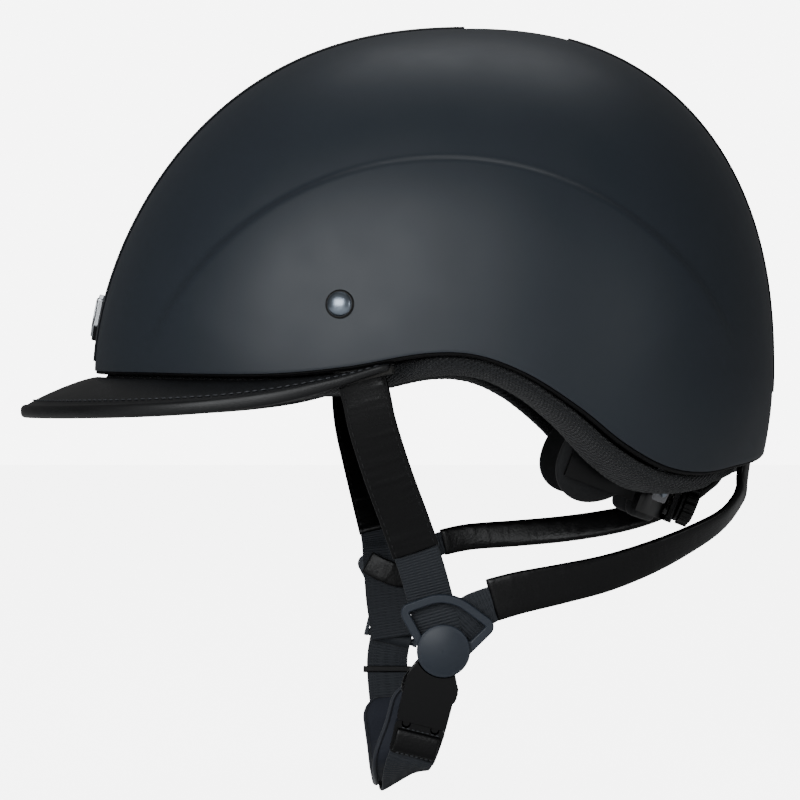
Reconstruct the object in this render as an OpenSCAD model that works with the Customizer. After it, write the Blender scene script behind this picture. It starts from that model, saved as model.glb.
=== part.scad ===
// Riding helmet: moulded shell with a leather peak, foam liner, nape adjuster and four point harness.
// Millimetres. +Z is up, the wearer faces -X, and the wearer's left is -Y.
// The origin is where the wearer's head sits: the middle of the brow line.

/* [Shell] */
// Reach of the shell from the crown's centre to the brow
front_reach = 152.8; // [151:0.2:155]
// Reach of the shell from the crown's centre to the back
rear_reach = 123.4; // [122:0.2:125]
// Half of the shell's width
half_width = 110; // [108:1:112]
// Height of the crown above the brow line
crown_height = 139; // [138:0.5:140]
// Thickness of the moulded shell
shell_wall = 2.8; // [2.4:0.1:2.8]
// Depth of the foam liner's inner face under the shell's outer face
liner_depth = 26; // [25:0.5:27]

/* [Peak] */
// How far the peak stands out in front of the shell
peak_length = 29; // [26:1:31]
// How far the front of the peak drops below the brow line
peak_drop = 14; // [12:1:15]

/* [Harness] */
// Width of the front straps' leather sleeves
sleeve_width = 18.5; // [17.5:0.5:19]
// Width of the webbing
webbing_width = 17.6; // [17:0.2:18]
// Width of the chin pad
chin_pad_width = 22; // [20:1:23]

/* [Adjuster] */
// Radius of the dial
dial_radius = 10.5; // [9.5:0.5:11]
// Radius of the nape cradle, from its own centre
cradle_radius = 73; // [72.5:0.5:73.5]

/* [Hidden] */
$fn = 64;

crown_x = 14;
around = 60;
rows = 12;
section_power = 2.2;
tuck = 0.0033;
// Height of the shell's lower edge against the azimuth, from the back (0) to the front (180)
rim_heights = [
    [0, -33], [28, -37], [40, -39.5], [50, -37], [60, -28], [70, -14], [80, -2],
    [90, 5], [100, 5.5], [115, 0.5], [130, -2], [155, -1], [180, 0]
];

// ---- small helpers ----

function unit(v) = v / norm(v);
function clamp01(x) = min(1, max(0, x));
function mix(a, b, t) = a + (b - a) * t;
function total(v) = v * [for (i = v) 1];

// A smooth curve through [x, y] points, read at x
function span_of(p, x, i = 0) = (i >= len(p) - 2 || x < p[i + 1][0]) ? i : span_of(p, x, i + 1);
function slope_at(p, i) = (i == 0 || i == len(p) - 1) ? 0
    : (p[i + 1][1] - p[i - 1][1]) / (p[i + 1][0] - p[i - 1][0]);
function curve_at(p, x) = let(
        i = span_of(p, x),
        h = p[i + 1][0] - p[i][0],
        t = (x - p[i][0]) / h
    )
    p[i][1] * (1 - 3 * t * t + 2 * t * t * t) + p[i + 1][1] * (3 * t * t - 2 * t * t * t)
    + h * slope_at(p, i) * (t - 2 * t * t + t * t * t) + h * slope_at(p, i + 1) * (t * t * t - t * t);

// A smooth curve through points of any size, with several steps a span
function knot(p, i) = p[min(len(p) - 1, max(0, i))];
function blend_span(a, b, c, d, t) = 0.5 * ((2 * b) + (c - a) * t
    + (2 * a - 5 * b + 4 * c - d) * t * t + (3 * b - 3 * c + d - a) * t * t * t);
function smooth_path(p, steps) = [
    for (i = [0:len(p) - 2]) for (s = [0:steps - 1])
        blend_span(knot(p, i - 1), knot(p, i), knot(p, i + 1), knot(p, i + 2), s / steps),
    p[len(p) - 1]
];

// ---- closed solids from rings of points ----

function side_faces(rings, n) = [
    for (i = [0:rings - 2]) for (j = [0:n - 1]) each
        [[i * n + j, i * n + (j + 1) % n, (i + 1) * n + (j + 1) % n],
         [i * n + j, (i + 1) * n + (j + 1) % n, (i + 1) * n + j]]
];
function face_volume(p, f) = p[f[0]] * cross(p[f[1]], p[f[2]]);
function outward(p, faces) = total([for (f = faces) face_volume(p, f)]) < 0
    ? faces : [for (f = faces) [f[2], f[1], f[0]]];

// Rings joined in order. Each end is closed flat, or to a point when a tip is given.
module loft(rings, tip_start = undef, tip_end = undef) {
    n = len(rings[0]);
    m = len(rings);
    points = concat([for (r = rings) each r], [is_undef(tip_start) ? rings[0][0] : tip_start],
        [is_undef(tip_end) ? rings[m - 1][0] : tip_end]);
    start_faces = is_undef(tip_start)
        ? [for (j = [1:n - 2]) [0, j + 1, j]]
        : [for (j = [0:n - 1]) [m * n, (j + 1) % n, j]];
    end_faces = is_undef(tip_end)
        ? [for (j = [1:n - 2]) [(m - 1) * n, (m - 1) * n + j, (m - 1) * n + j + 1]]
        : [for (j = [0:n - 1]) [m * n + 1, (m - 1) * n + j, (m - 1) * n + (j + 1) % n]];
    faces = concat(side_faces(m, n), start_faces, end_faces);
    polyhedron(points = points, faces = outward(points, faces), convexity = 8);
}

// Rings joined in order and back to the first
module closed_loft(rings) {
    n = len(rings[0]);
    m = len(rings);
    points = [for (r = rings) each r];
    faces = [
        for (i = [0:m - 1]) for (j = [0:n - 1]) each
            [[i * n + j, i * n + (j + 1) % n, ((i + 1) % m) * n + (j + 1) % n],
             [i * n + j, ((i + 1) % m) * n + (j + 1) % n, ((i + 1) % m) * n + j]]
    ];
    polyhedron(points = points, faces = outward(points, faces), convexity = 8);
}

// ---- the dome ----

function reach(r, h, across, up, z) = z > 0
    ? r * pow(max(0, 1 - pow(min(1, z / h), up)), 1 / across)
    : r - tuck * z * z;
// A point on the dome at azimuth a and height z, d under the outer face
function dome(a, z, d) = let(
        front = cos(a) < 0,
        f = reach((front ? front_reach : rear_reach) - d, crown_height - d,
            front ? 2.4 : 2.32, front ? 1.72 : 2.32, z),
        w = reach(half_width - d, crown_height - d, 2.4, 2.2, z),
        r = 1 / pow(pow(abs(cos(a)) / f, section_power) + pow(abs(sin(a)) / w, section_power),
            1 / section_power)
    )
    [crown_x + r * cos(a), r * sin(a), z];
function fold(a) = a > 180 ? 360 - a : a;
function rim(a) = curve_at(rim_heights, fold(a));
function row_height(a, t, d, lift) = (crown_height - d) * sin(90 * t) + (rim(a) + lift) * pow(1 - t, 2);
function dome_row(t, d, lift = 0) = [
    for (i = [0:around - 1]) let(a = i * 360 / around)
        dome(a, row_height(a, t, d, lift), d)
];
function crown_point(d) = [crown_x, 0, crown_height - d];

// Channels in the foam for the strap ends, at the temples and at the back
channel_depth = 4.6;
function channel(a, z) = let(b = fold(a))
    channel_depth * max(clamp01((17 - abs(b - 115)) / 6), clamp01((15 - abs(b - 18)) / 6))
    * clamp01((62 - z) / 14);

// The height at which the dome is met along a ray from the crown's centre, for a strip at a given y
function inside_dome(x, y, z, d) = let(
        front = x < crown_x,
        f = reach((front ? front_reach : rear_reach) - d, crown_height - d,
            front ? 2.4 : 2.32, front ? 1.72 : 2.32, z),
        w = reach(half_width - d, crown_height - d, 2.4, 2.2, z)
    )
    z < crown_height - d && f > 0.01 && w > abs(y) + 0.01
    && pow(abs(x - crown_x) / f, section_power) + pow(abs(y) / w, section_power) < 1;
function ray_length(phi, y, d, lo, hi, n) = n == 0 ? (lo + hi) / 2
    : let(m = (lo + hi) / 2)
        inside_dome(crown_x - m * cos(phi), y, m * sin(phi), d)
            ? ray_length(phi, y, d, m, hi, n - 1) : ray_length(phi, y, d, lo, m, n - 1);
// A point over the crown: phi runs from the brow (0) over the top (90) to the back (180)
function over_crown(phi, y, d) = let(r = ray_length(phi, y, d, 40, 190, 22))
    [crown_x - r * cos(phi), y, r * sin(phi)];

// A patch of even thickness that lies on the dome along its middle
module crown_patch(phi_start, phi_end, steps, half_start, half_end, top, bottom) {
    across = 6;
    rings = [
        for (i = [0:steps]) let(
            phi = mix(phi_start, phi_end, i / steps),
            half = mix(half_start, half_end, i / steps)
        )
        concat(
            [for (j = [0:across]) over_crown(phi, mix(-half, half, j / across), top)],
            [for (j = [across:-1:0]) over_crown(phi, mix(-half, half, j / across), bottom)]
        )
    ];
    loft(rings);
}

strip_half_brow = 19;
strip_half_crown = 24;
vent_front_low = 19;
vent_front_high = 30;
vent_crown_front = 90;
vent_crown_back = 105;

module vent_cutter(x, z, tilt, length, width) {
    translate([x, 0, z]) rotate([0, tilt, 0]) translate([-length / 2, -width / 2, -9])
        cube([length, width, 18]);
}

module vent_cutters() {
    vent_cutter(-121.5, 60, -66, 24, 26);
    vent_cutter(33, 137, 4, 27, 30);
}

// Straight out of the dome, and level along it towards the back
function dome_normal(a, z, d) = unit(cross(dome(a + 1, z, d) - dome(a - 1, z, d),
    dome(a, z + 2, d) - dome(a, z - 2, d)));
function dome_tangent(a, z, d) = unit(dome(a - 2, z, d) - dome(a + 2, z, d));
function flip(side, v) = [v[0], side * v[1], v[2]];
module on_shell(side, a, z, d) {
    translate(flip(side, dome(a, z, d)))
        multmatrix(frame_matrix(flip(side, dome_normal(a, z, d)), flip(side, dome_tangent(a, z, d))))
            children();
}
// Turns z onto an axis and x as near as it can to a side direction
function frame_matrix(axis, side) = let(
        z = unit(axis),
        y = unit(cross(z, side)),
        x = cross(y, z)
    )
    [[x[0], y[0], z[0], 0], [x[1], y[1], z[1], 0], [x[2], y[2], z[2], 0], [0, 0, 0, 1]];

rivet_azimuth = 116;
rivet_height = 24;
rivet_hole = 2;
rear_anchor_azimuth = 18;
rear_anchor_height = -14;

module outer_shell() {
    color("#22262b") difference() {
        loft(
            concat(
                [for (j = [rows - 1:-1:0]) dome_row(j / rows, 0)],
                [for (j = [0:rows - 1]) dome_row(j / rows, shell_wall)]
            ),
            crown_point(0), crown_point(shell_wall)
        );
        vent_cutters();
        for (side = [-1, 1]) on_shell(side, rivet_azimuth, rivet_height, 0) translate([0, 0, -6])
            cylinder(r = rivet_hole, h = 10);
    }
}

module shell_edge_trim() {
    color("#0d0d0e") closed_loft([
        for (i = [0:around - 1]) let(a = i * 360 / around, z = rim(a))
            [dome(a, z - 0.1, -0.3), dome(a, z - 1.9, -0.1), dome(a, z - 1.9, 3), dome(a, z - 0.1, 3)]
    ]);
}

module impact_liner() {
    color("#2b2c2e") loft(
        concat(
            [for (j = [rows - 1:-1:0]) [
                for (i = [0:around - 1]) let(
                    a = i * 360 / around,
                    d = shell_wall + 0.5,
                    z = row_height(a, j / rows, d, 1)
                )
                dome(a, z, d + channel(a, z))
            ]],
            [for (j = [0:rows - 1]) dome_row(j / rows, liner_depth, 1)]
        ),
        crown_point(shell_wall + 0.5), crown_point(liner_depth)
    );
}

// The padded roll that covers the foam's lower edge
module rim_cushion() {
    color("#17181a") closed_loft([
        for (i = [0:around - 1]) let(a = i * 360 / around, z = rim(a), c = channel(a, z))
            [dome(a, z - 0.2, 3.6 + c), dome(a, z - 5, 3.6 + c), dome(a, z - 8, 7 + c),
             dome(a, z - 8, 21), dome(a, z - 5, liner_depth), dome(a, z - 0.2, liner_depth)]
    ]);
}

headband_first = 72;
module headband_pad() {
    steps = 36;
    top = 40;
    color("#141517") loft([
        for (i = [0:steps]) let(a = mix(headband_first, 360 - headband_first, i / steps), z = rim(a) + 2)
            [dome(a, z, liner_depth + 0.4), dome(a, z, liner_depth + 5), dome(a, z + 6, liner_depth + 7),
             dome(a, top - 6, liner_depth + 7), dome(a, top, liner_depth + 4),
             dome(a, top, liner_depth + 0.4)]
    ]);
}

module crown_pad() {
    low = 0.74;
    mid = 0.87;
    outer = liner_depth + 0.4;
    inner = liner_depth + 6;
    color("#141517") loft(
        [dome_row(mid, outer), dome_row(low, outer), dome_row(low + 0.02, inner), dome_row(mid, inner)],
        crown_point(outer), crown_point(inner)
    );
}

// ---- trim on the crown ----

module crown_strip_front() {
    color("#1a1b1d") difference() {
        crown_patch(1.5, vent_crown_front - 1, 26, strip_half_brow, strip_half_crown, -0.9, -0.15);
        vent_cutter(-121.5, 60, -66, 24, 26);
        on_brow() translate([-9.6, -10, -4]) cube([20.2, 20, 9]);
    }
}

module crown_strip_rear() {
    color("#1a1b1d")
        crown_patch(vent_crown_back + 1.5, 184, 26, strip_half_crown, 15, -0.9, -0.15);
}

module mesh_patch(phi_start, phi_end, half) {
    crown_patch(phi_start, phi_end, 4, half, half, shell_wall - 1.6, shell_wall - 0.6);
}

module front_vent_mesh() {
    color("#0b0b0c") intersection() {
        mesh_patch(15, 34, 12.6);
        vent_cutter(-121.5, 60, -66, 23.4, 25.4);
    }
}

module crown_vent_mesh() {
    color("#0b0b0c") intersection() {
        mesh_patch(88, 110, 14.6);
        vent_cutter(33, 137, 4, 26.4, 29.4);
    }
}

// A blank shield plate on the brow
badge_point = [-136.65, 0, 21];
badge_tilt = 78.3;
module on_brow() {
    translate(badge_point) rotate([0, -badge_tilt, 0]) children();
}
module front_badge() {
    color("#b9bcc0") on_brow() {
        linear_extrude(2.2) polygon([
            [-9, -4], [-9, 4], [-3, 8.5], [8, 9.5], [10, 7], [10, -7], [8, -9.5], [-3, -8.5]
        ]);
        translate([0, 0, 2.2]) linear_extrude(0.8) polygon([
            [-7.5, -3], [-7.5, 3], [-3, 6.8], [7, 7.8], [8.5, 6], [8.5, -6], [7, -7.8], [-3, -6.8]
        ]);
    }
}

// ---- strap anchors ----

module side_rivet(side) {
    color("#8b9096") on_shell(side, rivet_azimuth, rivet_height, 0) {
        intersection() {
            translate([0, 0, -6]) sphere(r = 8.2);
            translate([0, 0, 0.3]) cylinder(r = 4.8, h = 4);
        }
        translate([0, 0, -7.1]) cylinder(r = rivet_hole - 0.1, h = 7.6);
    }
}
module rear_anchor_rivets() {
    color("#7a7f85") for (side = [-1, 1])
        on_shell(side, rear_anchor_azimuth, rear_anchor_height, shell_wall + 1.5)
            cylinder(r = 4, h = 0.9);
}

// ---- peak ----

peak_first = 106;
peak_steps = 36;
peak_rows = 4;
peak_wall = 4.6;
// Share of the peak's full length and drop against the azimuth
peak_shape = [[106, 0.1], [114, 0.24], [124, 0.48], [136, 0.74], [150, 0.92], [166, 0.99], [180, 1]];
peak_fall = [[106, 0.12], [114, 0.27], [124, 0.51], [136, 0.75], [150, 0.92], [166, 1], [180, 1.03]];
function peak_at(a, v, h) = let(
        base = dome(a, rim(a) - 2.2, 2.4),
        out = unit([base[0] - crown_x, base[1] * 1.15, 0]),
        length = 2.4 + peak_length * curve_at(peak_shape, fold(a)),
        drop = peak_drop * curve_at(peak_fall, fold(a)) - 2
    )
    base + out * length * v + [0, 0, -drop * pow(v, 1.25)] + [0, 0, h] + out * h * 0.3 * v;
module peak_layer(top, bottom) {
    loft([
        for (i = [0:peak_steps]) let(a = mix(peak_first, 360 - peak_first, i / peak_steps))
            concat(
                [for (j = [0:peak_rows]) peak_at(a, j / peak_rows, -top)],
                [for (j = [peak_rows:-1:0]) peak_at(a, j / peak_rows, -bottom)]
            )
    ]);
}
module peak_top_cover() {
    color("#141416") peak_layer(0, 0.95);
}
module peak_board() {
    color("#2c2d30") peak_layer(1, peak_wall - 1.05);
}
module peak_lining() {
    color("#141416") peak_layer(peak_wall - 1, peak_wall);
}
module peak_edge_binding() {
    bead = 1.7;
    color("#101012") loft([
        for (i = [0:peak_steps]) let(
            a = mix(peak_first, 360 - peak_first, i / peak_steps),
            top = peak_at(a, 1, 0),
            low = peak_at(a, 1, -peak_wall),
            base = dome(a, 0, 0),
            out = unit([base[0] - crown_x, base[1], 0])
        )
        [top + out * 0.05, top + out * bead * 0.75 + [0, 0, -0.9], low + out * bead + [0, 0, 1.2],
         low + out * 0.05]
    ]);
}

// ---- straps ----

// A flat strap along places, each with the direction of its width: [[place], [direction]]
function strap_ring(p, i, w, t) = let(
        here = p[i],
        place = [here[0], here[1], here[2]],
        before = knot(p, i - 1),
        after = knot(p, i + 1),
        along = unit([after[0] - before[0], after[1] - before[1], after[2] - before[2]]),
        n = unit(cross(along, [here[3], here[4], here[5]])),
        side = cross(n, along)
    )
    [place + side * w / 2 + n * t / 2, place - side * w / 2 + n * t / 2,
     place - side * w / 2 - n * t / 2, place + side * w / 2 - n * t / 2];
module strap(route, w, t, steps = 4, w_end = undef) {
    p = smooth_path(route, steps);
    last = len(p) - 1;
    loft([for (i = [0:last]) strap_ring(p, i, is_undef(w_end) ? w : mix(w, w_end, i / last), t)]);
}
function place(p, w) = [p[0], p[1], p[2], w[0], w[1], w[2]];
function on_dome(side, a, z, d, way = 1) = place(flip(side, dome(a, z, d)),
    way * flip(side, dome_tangent(a, z, d)));

strap_depth = shell_wall + 2.9;
left_front_route = [
    on_dome(-1, 116, 31, strap_depth),
    on_dome(-1, 116, 22, strap_depth),
    on_dome(-1, 114.6, 6, strap_depth),
    on_dome(-1, 112.4, -9, strap_depth + 0.5),
    place([-24.6, -98, -22], [0.97, -0.15, 0.15]),
    place([-19, -91, -40], [0.97, -0.1, 0.2]),
    place([-13.2, -84, -56], [0.98, -0.05, 0.2]),
    place([-8.2, -78.6, -70], [0.98, 0, 0.2])
];
left_front_webbing_route = [
    place([-8, -78.3, -70.6], [0.98, 0, 0.2]),
    place([-5.6, -75, -78], [0.98, -0.01, 0.17]),
    place([-3.4, -72, -86], [0.985, -0.02, 0.17]),
    place([-1.8, -71.6, -92], [0.985, -0.03, 0.17]),
    place([0.2, -71.1, -99], [0.985, -0.03, 0.17])
];
right_front_route = [
    on_dome(1, 116, 31, strap_depth),
    on_dome(1, 116, 22, strap_depth),
    on_dome(1, 116, 6, strap_depth),
    on_dome(1, 116.5, -9, strap_depth + 0.5),
    place([-34, 94, -23], [0.97, 0.15, 0.1]),
    place([-30.3, 87, -39], [0.97, 0.1, 0.15]),
    place([-26.3, 79, -55], [0.98, 0.05, 0.15]),
    place([-22.9, 72.6, -68.5], [0.98, 0, 0.15])
];
right_front_webbing_route = [
    place([-22.7, 72, -69.9], [0.98, 0, 0.15]),
    place([-22.3, 70.7, -72.2], [0.98, 0, 0.14]),
    place([-21.9, 67.3, -76.5], [0.98, 0, 0.1]),
    place([-21.4, 65, -83], [0.99, 0, 0.02]),
    place([-20.9, 63, -90], [0.99, 0, -0.08]),
    place([-20.2, 61.9, -98], [0.98, 0, -0.16]),
    place([-19.2, 61.7, -105], [0.98, 0, -0.22]),
    place([-18.2, 62, -111.6], [0.97, 0, -0.24])
];
left_rear_route = [
    on_dome(-1, 18, -8, strap_depth + 0.2, -1),
    on_dome(-1, 18, -25, strap_depth + 0.2, -1),
    place([121.8, -36.8, -41.5], [-0.3, -0.95, 0.1]),
    place([119.8, -41.5, -50], [-0.2, -0.9, 0.3]),
    place([112.4, -47.5, -58.8], [0, -0.75, 0.6]),
    place([100, -53, -66], [0.15, -0.55, 0.8]),
    place([84, -59, -73], [0.1, -0.4, 0.9]),
    place([66, -64, -79], [0, -0.3, 0.95]),
    place([48, -67.5, -83], [0, -0.2, 0.97]),
    place([32, -70, -86.2], [-0.1, -0.1, 0.98]),
    place([20.8, -70.8, -89.2], [-0.2, -0.07, 0.98])
];
left_rear_webbing_route = [
    place([19.3, -71, -90.1], [-0.2, -0.07, 0.98]),
    place([14.4, -71.5, -92.7], [-0.35, -0.08, 0.95]),
    place([11.3, -71.4, -94.9], [-0.45, -0.1, 0.88])
];
right_rear_route = [
    on_dome(1, 18, -8, strap_depth + 0.2, -1),
    on_dome(1, 18, -25, strap_depth + 0.2, -1),
    place([120.5, 36.5, -40], [-0.3, 0.95, 0.1]),
    place([115.5, 42, -47], [-0.15, 0.9, 0.35]),
    place([107, 49, -53.5], [0.05, 0.75, 0.6]),
    place([94, 55, -59.5], [0.1, 0.55, 0.8]),
    place([78, 61, -64], [0.05, 0.4, 0.9]),
    place([58, 65.5, -67.4], [0, 0.3, 0.95]),
    place([36, 68, -69.6], [0, 0.2, 0.97]),
    place([16, 69, -71.2], [0, 0.1, 0.98]),
    place([4, 69, -73.6], [-0.1, 0, 0.98])
];
right_rear_webbing_route = [
    place([2.9, 68.9, -74.1], [-0.1, 0, 0.98]),
    place([1.2, 68.4, -75], [-0.2, 0, 0.96]),
    place([-1.2, 67.6, -78.2], [-0.45, 0, 0.88]),
    place([-3.6, 67.2, -83.6], [-0.7, 0, 0.6]),
    place([-5, 66.9, -87], [-0.85, 0, 0.3])
];
rear_sleeve_width = 17;
far_sleeve_width = 11.5;
far_webbing_width = 9;
sleeve_wall = 2.6;
webbing_wall = 1.5;

module front_strap(side, route) {
    color("#17181a") difference() {
        strap(route, sleeve_width, sleeve_wall);
        on_shell(side, rivet_azimuth, rivet_height, 0) translate([0, 0, -12])
            cylinder(r = rivet_hole + 0.1, h = 14);
    }
}
module front_strap_left() {
    front_strap(-1, left_front_route);
}
module front_strap_right() {
    front_strap(1, right_front_route);
}
module front_webbing_left() {
    color("#1f2124") strap(left_front_webbing_route, webbing_width, webbing_wall);
}
module front_webbing_right() {
    color("#1f2124") strap(right_front_webbing_route, webbing_width, webbing_wall);
}
module rear_strap_left() {
    color("#17181a") strap(left_rear_route, 11, sleeve_wall, 3, rear_sleeve_width);
}
module rear_strap_right() {
    color("#17181a") strap(right_rear_route, far_sleeve_width, sleeve_wall, 3);
}
module rear_webbing_left() {
    color("#1f2124") strap(left_rear_webbing_route, rear_sleeve_width - 3.5, webbing_wall);
}
module rear_webbing_right() {
    color("#1f2124") strap(right_rear_webbing_route, far_webbing_width, webbing_wall);
}

// ---- dividers and buckle ----

// The buckle's own frame: x to the back, y up along the strap, z outward
lean = 14;
tilt = 4;
left_divider = [2.4, -72, -108];
module left_frame() {
    translate(left_divider) rotate([90, 0, 0]) rotate([0, 0, -lean]) rotate([tilt, 0, 0]) children();
}
buckle_down = [-cos(tilt) * sin(lean), sin(tilt), -cos(tilt) * cos(lean)];
buckle_in = [sin(tilt) * sin(lean), cos(tilt), sin(tilt) * cos(lean)];
buckle_across = [cos(lean), 0, -sin(lean)];
// The chin strap swings about the bar of the right divider
engage_middle = 21;
swing_radius = 138;
swing_point = left_divider + buckle_down * engage_middle + buckle_in * swing_radius
    - buckle_across * 18.5;
right_divider = swing_point + [2, 0.6, 17.5];
module right_frame() {
    translate(right_divider) mirror([0, 1, 0]) rotate([90, 0, 0]) rotate([0, 0, -lean])
        rotate([tilt, 0, 0]) children();
}

module divider_outline() {
    hull() {
        translate([-13.6, 13.2]) circle(r = 4);
        translate([14.5, 10.5]) circle(r = 4);
        intersection() {
            translate([-1, 3.6]) circle(r = 18);
            translate([-12, 9]) square([22, 16]);
        }
        translate([0, -1]) circle(r = 7.6);
    }
}
module divider_ring() {
    rotate([0, 0, lean - 5]) difference() {
        linear_extrude(3) divider_outline();
        translate([0, 0, -1]) linear_extrude(5) intersection() {
            offset(r = -3.4) divider_outline();
            translate([-20, 4.5]) square([40, 30]);
        }
        translate([0, 0, -1]) cylinder(r = 2.1, h = 5);
    }
}
module divider_cap() {
    translate([0, 0, 3.1]) cylinder(r = 10.3, h = 1.5);
    translate([0, 0, 4.6]) intersection() {
        cylinder(r = 10.3, h = 2);
        translate([0, 0, -28]) sphere(r = 29.6);
    }
    translate([0, 0, -4.6]) cylinder(r = 2, h = 7.8);
}
module strap_divider_left() {
    color("#3c4046") left_frame() divider_ring();
}
module strap_divider_right() {
    color("#3c4046") right_frame() divider_ring();
}
module divider_cap_left() {
    color("#33373c") left_frame() divider_cap();
}
module divider_cap_right() {
    color("#33373c") right_frame() divider_cap();
}

// A yoke under the right divider, whose round bar carries the chin strap's loop
bar_radius = 1.6;
bar_length = 23;
module along_bar() {
    translate(swing_point) rotate([0, lean, 0]) rotate([0, 90, 0]) children();
}
module divider_bar_right() {
    arm = bar_length / 2 - 0.6;
    color("#33373c") difference() {
        union() {
            along_bar() translate([0, 0, -bar_length / 2]) cylinder(r = bar_radius, h = bar_length);
            translate(swing_point) rotate([0, lean, 0]) {
                for (end = [-1, 1]) translate([end * arm - 0.8, -3, -1.6]) cube([1.6, 4.6, 7.4]);
                translate([-arm - 0.8, -3, 4.2]) cube([arm * 2 + 1.6, 1.7, 3]);
                translate([-7.3, -3, 6]) cube([10, 1.7, 15.8]);
            }
        }
        right_frame() translate([0, 0, -8]) cylinder(r = 2.3, h = 12);
    }
}

buckle_offset = -1.3;
module buckle_frame() {
    left_frame() translate([buckle_offset, 0, 0]) children();
}
module socket_outline() {
    hull() {
        translate([0, -9]) square([14, 5], center = true);
        for (s = [-1, 1]) {
            translate([s * 7.4, -13.5]) circle(r = 2.6);
            translate([s * 8.3, -22]) circle(r = 1.6);
            translate([s * 8.2, -29]) circle(r = 1.6);
        }
    }
}
module buckle_socket() {
    color("#0e0e10") buckle_frame() difference() {
        union() {
            translate([0, 0, -7.4]) linear_extrude(9) socket_outline();
            translate([0, 0, -4.6]) linear_extrude(4.2) {
                translate([-buckle_offset, 0]) circle(r = 5.4);
                translate([-5.4 - buckle_offset, -9]) square([10.8, 9]);
            }
        }
        translate([-buckle_offset, 0, -0.4]) cylinder(r = 11, h = 5);
        translate([-buckle_offset, 0, -6]) cylinder(r = 2.1, h = 8);
        translate([-7.9, -40, -5.4]) cube([15.8, 29, 4.9]);
        for (s = [-1, 1]) {
            translate([s * 10.5 - 4, -20, -6]) cube([8, 8.4, 6.2]);
            translate([s * 10.5 - 4, -40, -5.3]) cube([8, 28, 4.7]);
        }
    }
}

plug_low = -43.6;
module buckle_plug() {
    color("#0e0e10") buckle_frame() difference() {
        union() {
            hull() for (s = [-1, 1]) {
                translate([s * 8, -32.6, -6.6]) cylinder(r = 1.8, h = 7.4);
                translate([s * 7.4 - 0.4, plug_low + 1.8, -6]) cylinder(r = 1.8, h = 6);
            }
            translate([-1.9, -33, -4.6]) cube([3.8, 20.5, 3.2]);
        }
        translate([-7.4, -37, -10]) cube([14.8, 1.8, 14]);
        translate([-7.2, -41.4, -10]) cube([13.8, 1.8, 14]);
        for (s = [-1, 1]) translate([s * prong_root[0], prong_root[1], -10]) {
            cylinder(r = 1.75, h = 14);
            translate([-1.75, 0, 0]) cube([3.5, 3, 14]);
        }
    }
}
prong_root = [5.7, -31.4];
// One side release arm, drawn for the back; the front arm is its mirror image
module prong() {
    translate([prong_root[0], prong_root[1], -4.7]) {
        cylinder(r = 1.6, h = 3.4);
        linear_extrude(3.4) polygon([
            [-1.2, 0], [-0.9, 14], [-0.9, 18.6], [1.2, 18.6], [5.1, 13.5], [5.1, 12.2], [1.3, 12],
            [1.2, 0]
        ]);
    }
}
module prong_rear() {
    color("#0e0e10") buckle_frame() prong();
}
module prong_front() {
    color("#0e0e10") buckle_frame() mirror([1, 0, 0]) prong();
}

// ---- chin strap ----

// The chin strap runs from the plug, under the chin and up to the bar on the right
chin_route = [
    place(left_divider + buckle_down * 44.3 + [-1.7, 1.4, 0.3], buckle_across),
    place([-11.2, -65, -153.2], [0.95, 0, -0.1]),
    place([-12.8, -56.6, -157.8], [0.93, 0, 0.25]),
    place([-13.8, -41, -161.4], [0.82, 0, 0.48]),
    place([-14.8, -19, -164.8], [0.85, 0, 0.46]),
    place([-15.2, 4, -166.6], [0.88, 0, 0.42]),
    place([-16, 26, -164.6], [0.93, 0, 0.33]),
    place([-16.8, 44, -159], [0.95, 0, 0.22]),
    place([-17.4, 56, -151], [0.97, 0, 0.08]),
    place([-18.8, 62.4, -140.6], [0.99, 0, -0.05]),
    place([-19.8, 65.6, -130], [0.98, 0, -0.14]),
    place([-19.8, 67, -123], [0.975, 0, -0.2]),
    place(swing_point - [sin(lean), 0, cos(lean)] * 4, buckle_across)
];
module chin_webbing() {
    color("#1f2124") strap(chin_route, webbing_width, webbing_wall, 4);
}
module chin_webbing_loop() {
    color("#1f2124") along_bar() translate([0, 0, -webbing_width / 2]) difference() {
        cylinder(r = bar_radius + 1.7, h = webbing_width);
        translate([0, 0, -1]) cylinder(r = bar_radius + 0.08, h = webbing_width + 2);
    }
}
chin_pad_route = [
    place(left_divider + buckle_down * 17 + [-2.9, 10.8, 0.7], buckle_across),
    place(left_divider + buckle_down * 34 + [-2.9, 11.4, 0.7], buckle_across),
    place([-12.6, -58, -150.8], [0.95, 0, -0.1]),
    place([-13.6, -50.6, -155], [0.93, 0, 0.25]),
    place([-14.2, -37.5, -157.8], [0.82, 0, 0.48]),
    place([-14.8, -18, -161], [0.85, 0, 0.46]),
    place([-15.2, 4, -162.8], [0.88, 0, 0.42]),
    place([-16, 24.6, -161], [0.93, 0, 0.33]),
    place([-16.8, 41, -156], [0.95, 0, 0.22]),
    place([-18, 52, -149], [0.97, 0, 0.08]),
    place([-19.4, 58, -139.6], [0.99, 0, -0.05])
];
module chin_pad() {
    color("#1c1f26") strap(chin_pad_route, chin_pad_width, 3, 3);
}
keeper_axis = [0, 2, 11];
module strap_keeper() {
    color("#101113") translate([-19.8, 66.1, -127])
        multmatrix(frame_matrix(keeper_axis, buckle_across)) difference() {
            translate([-10.4, -2.2, -2.6]) cube([20.8, 4.4, 2.6]);
            translate([-9.6, -1.3, -4]) cube([19.2, 2.6, 6]);
        }
}

// ---- nape cradle and its adjuster ----

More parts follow.
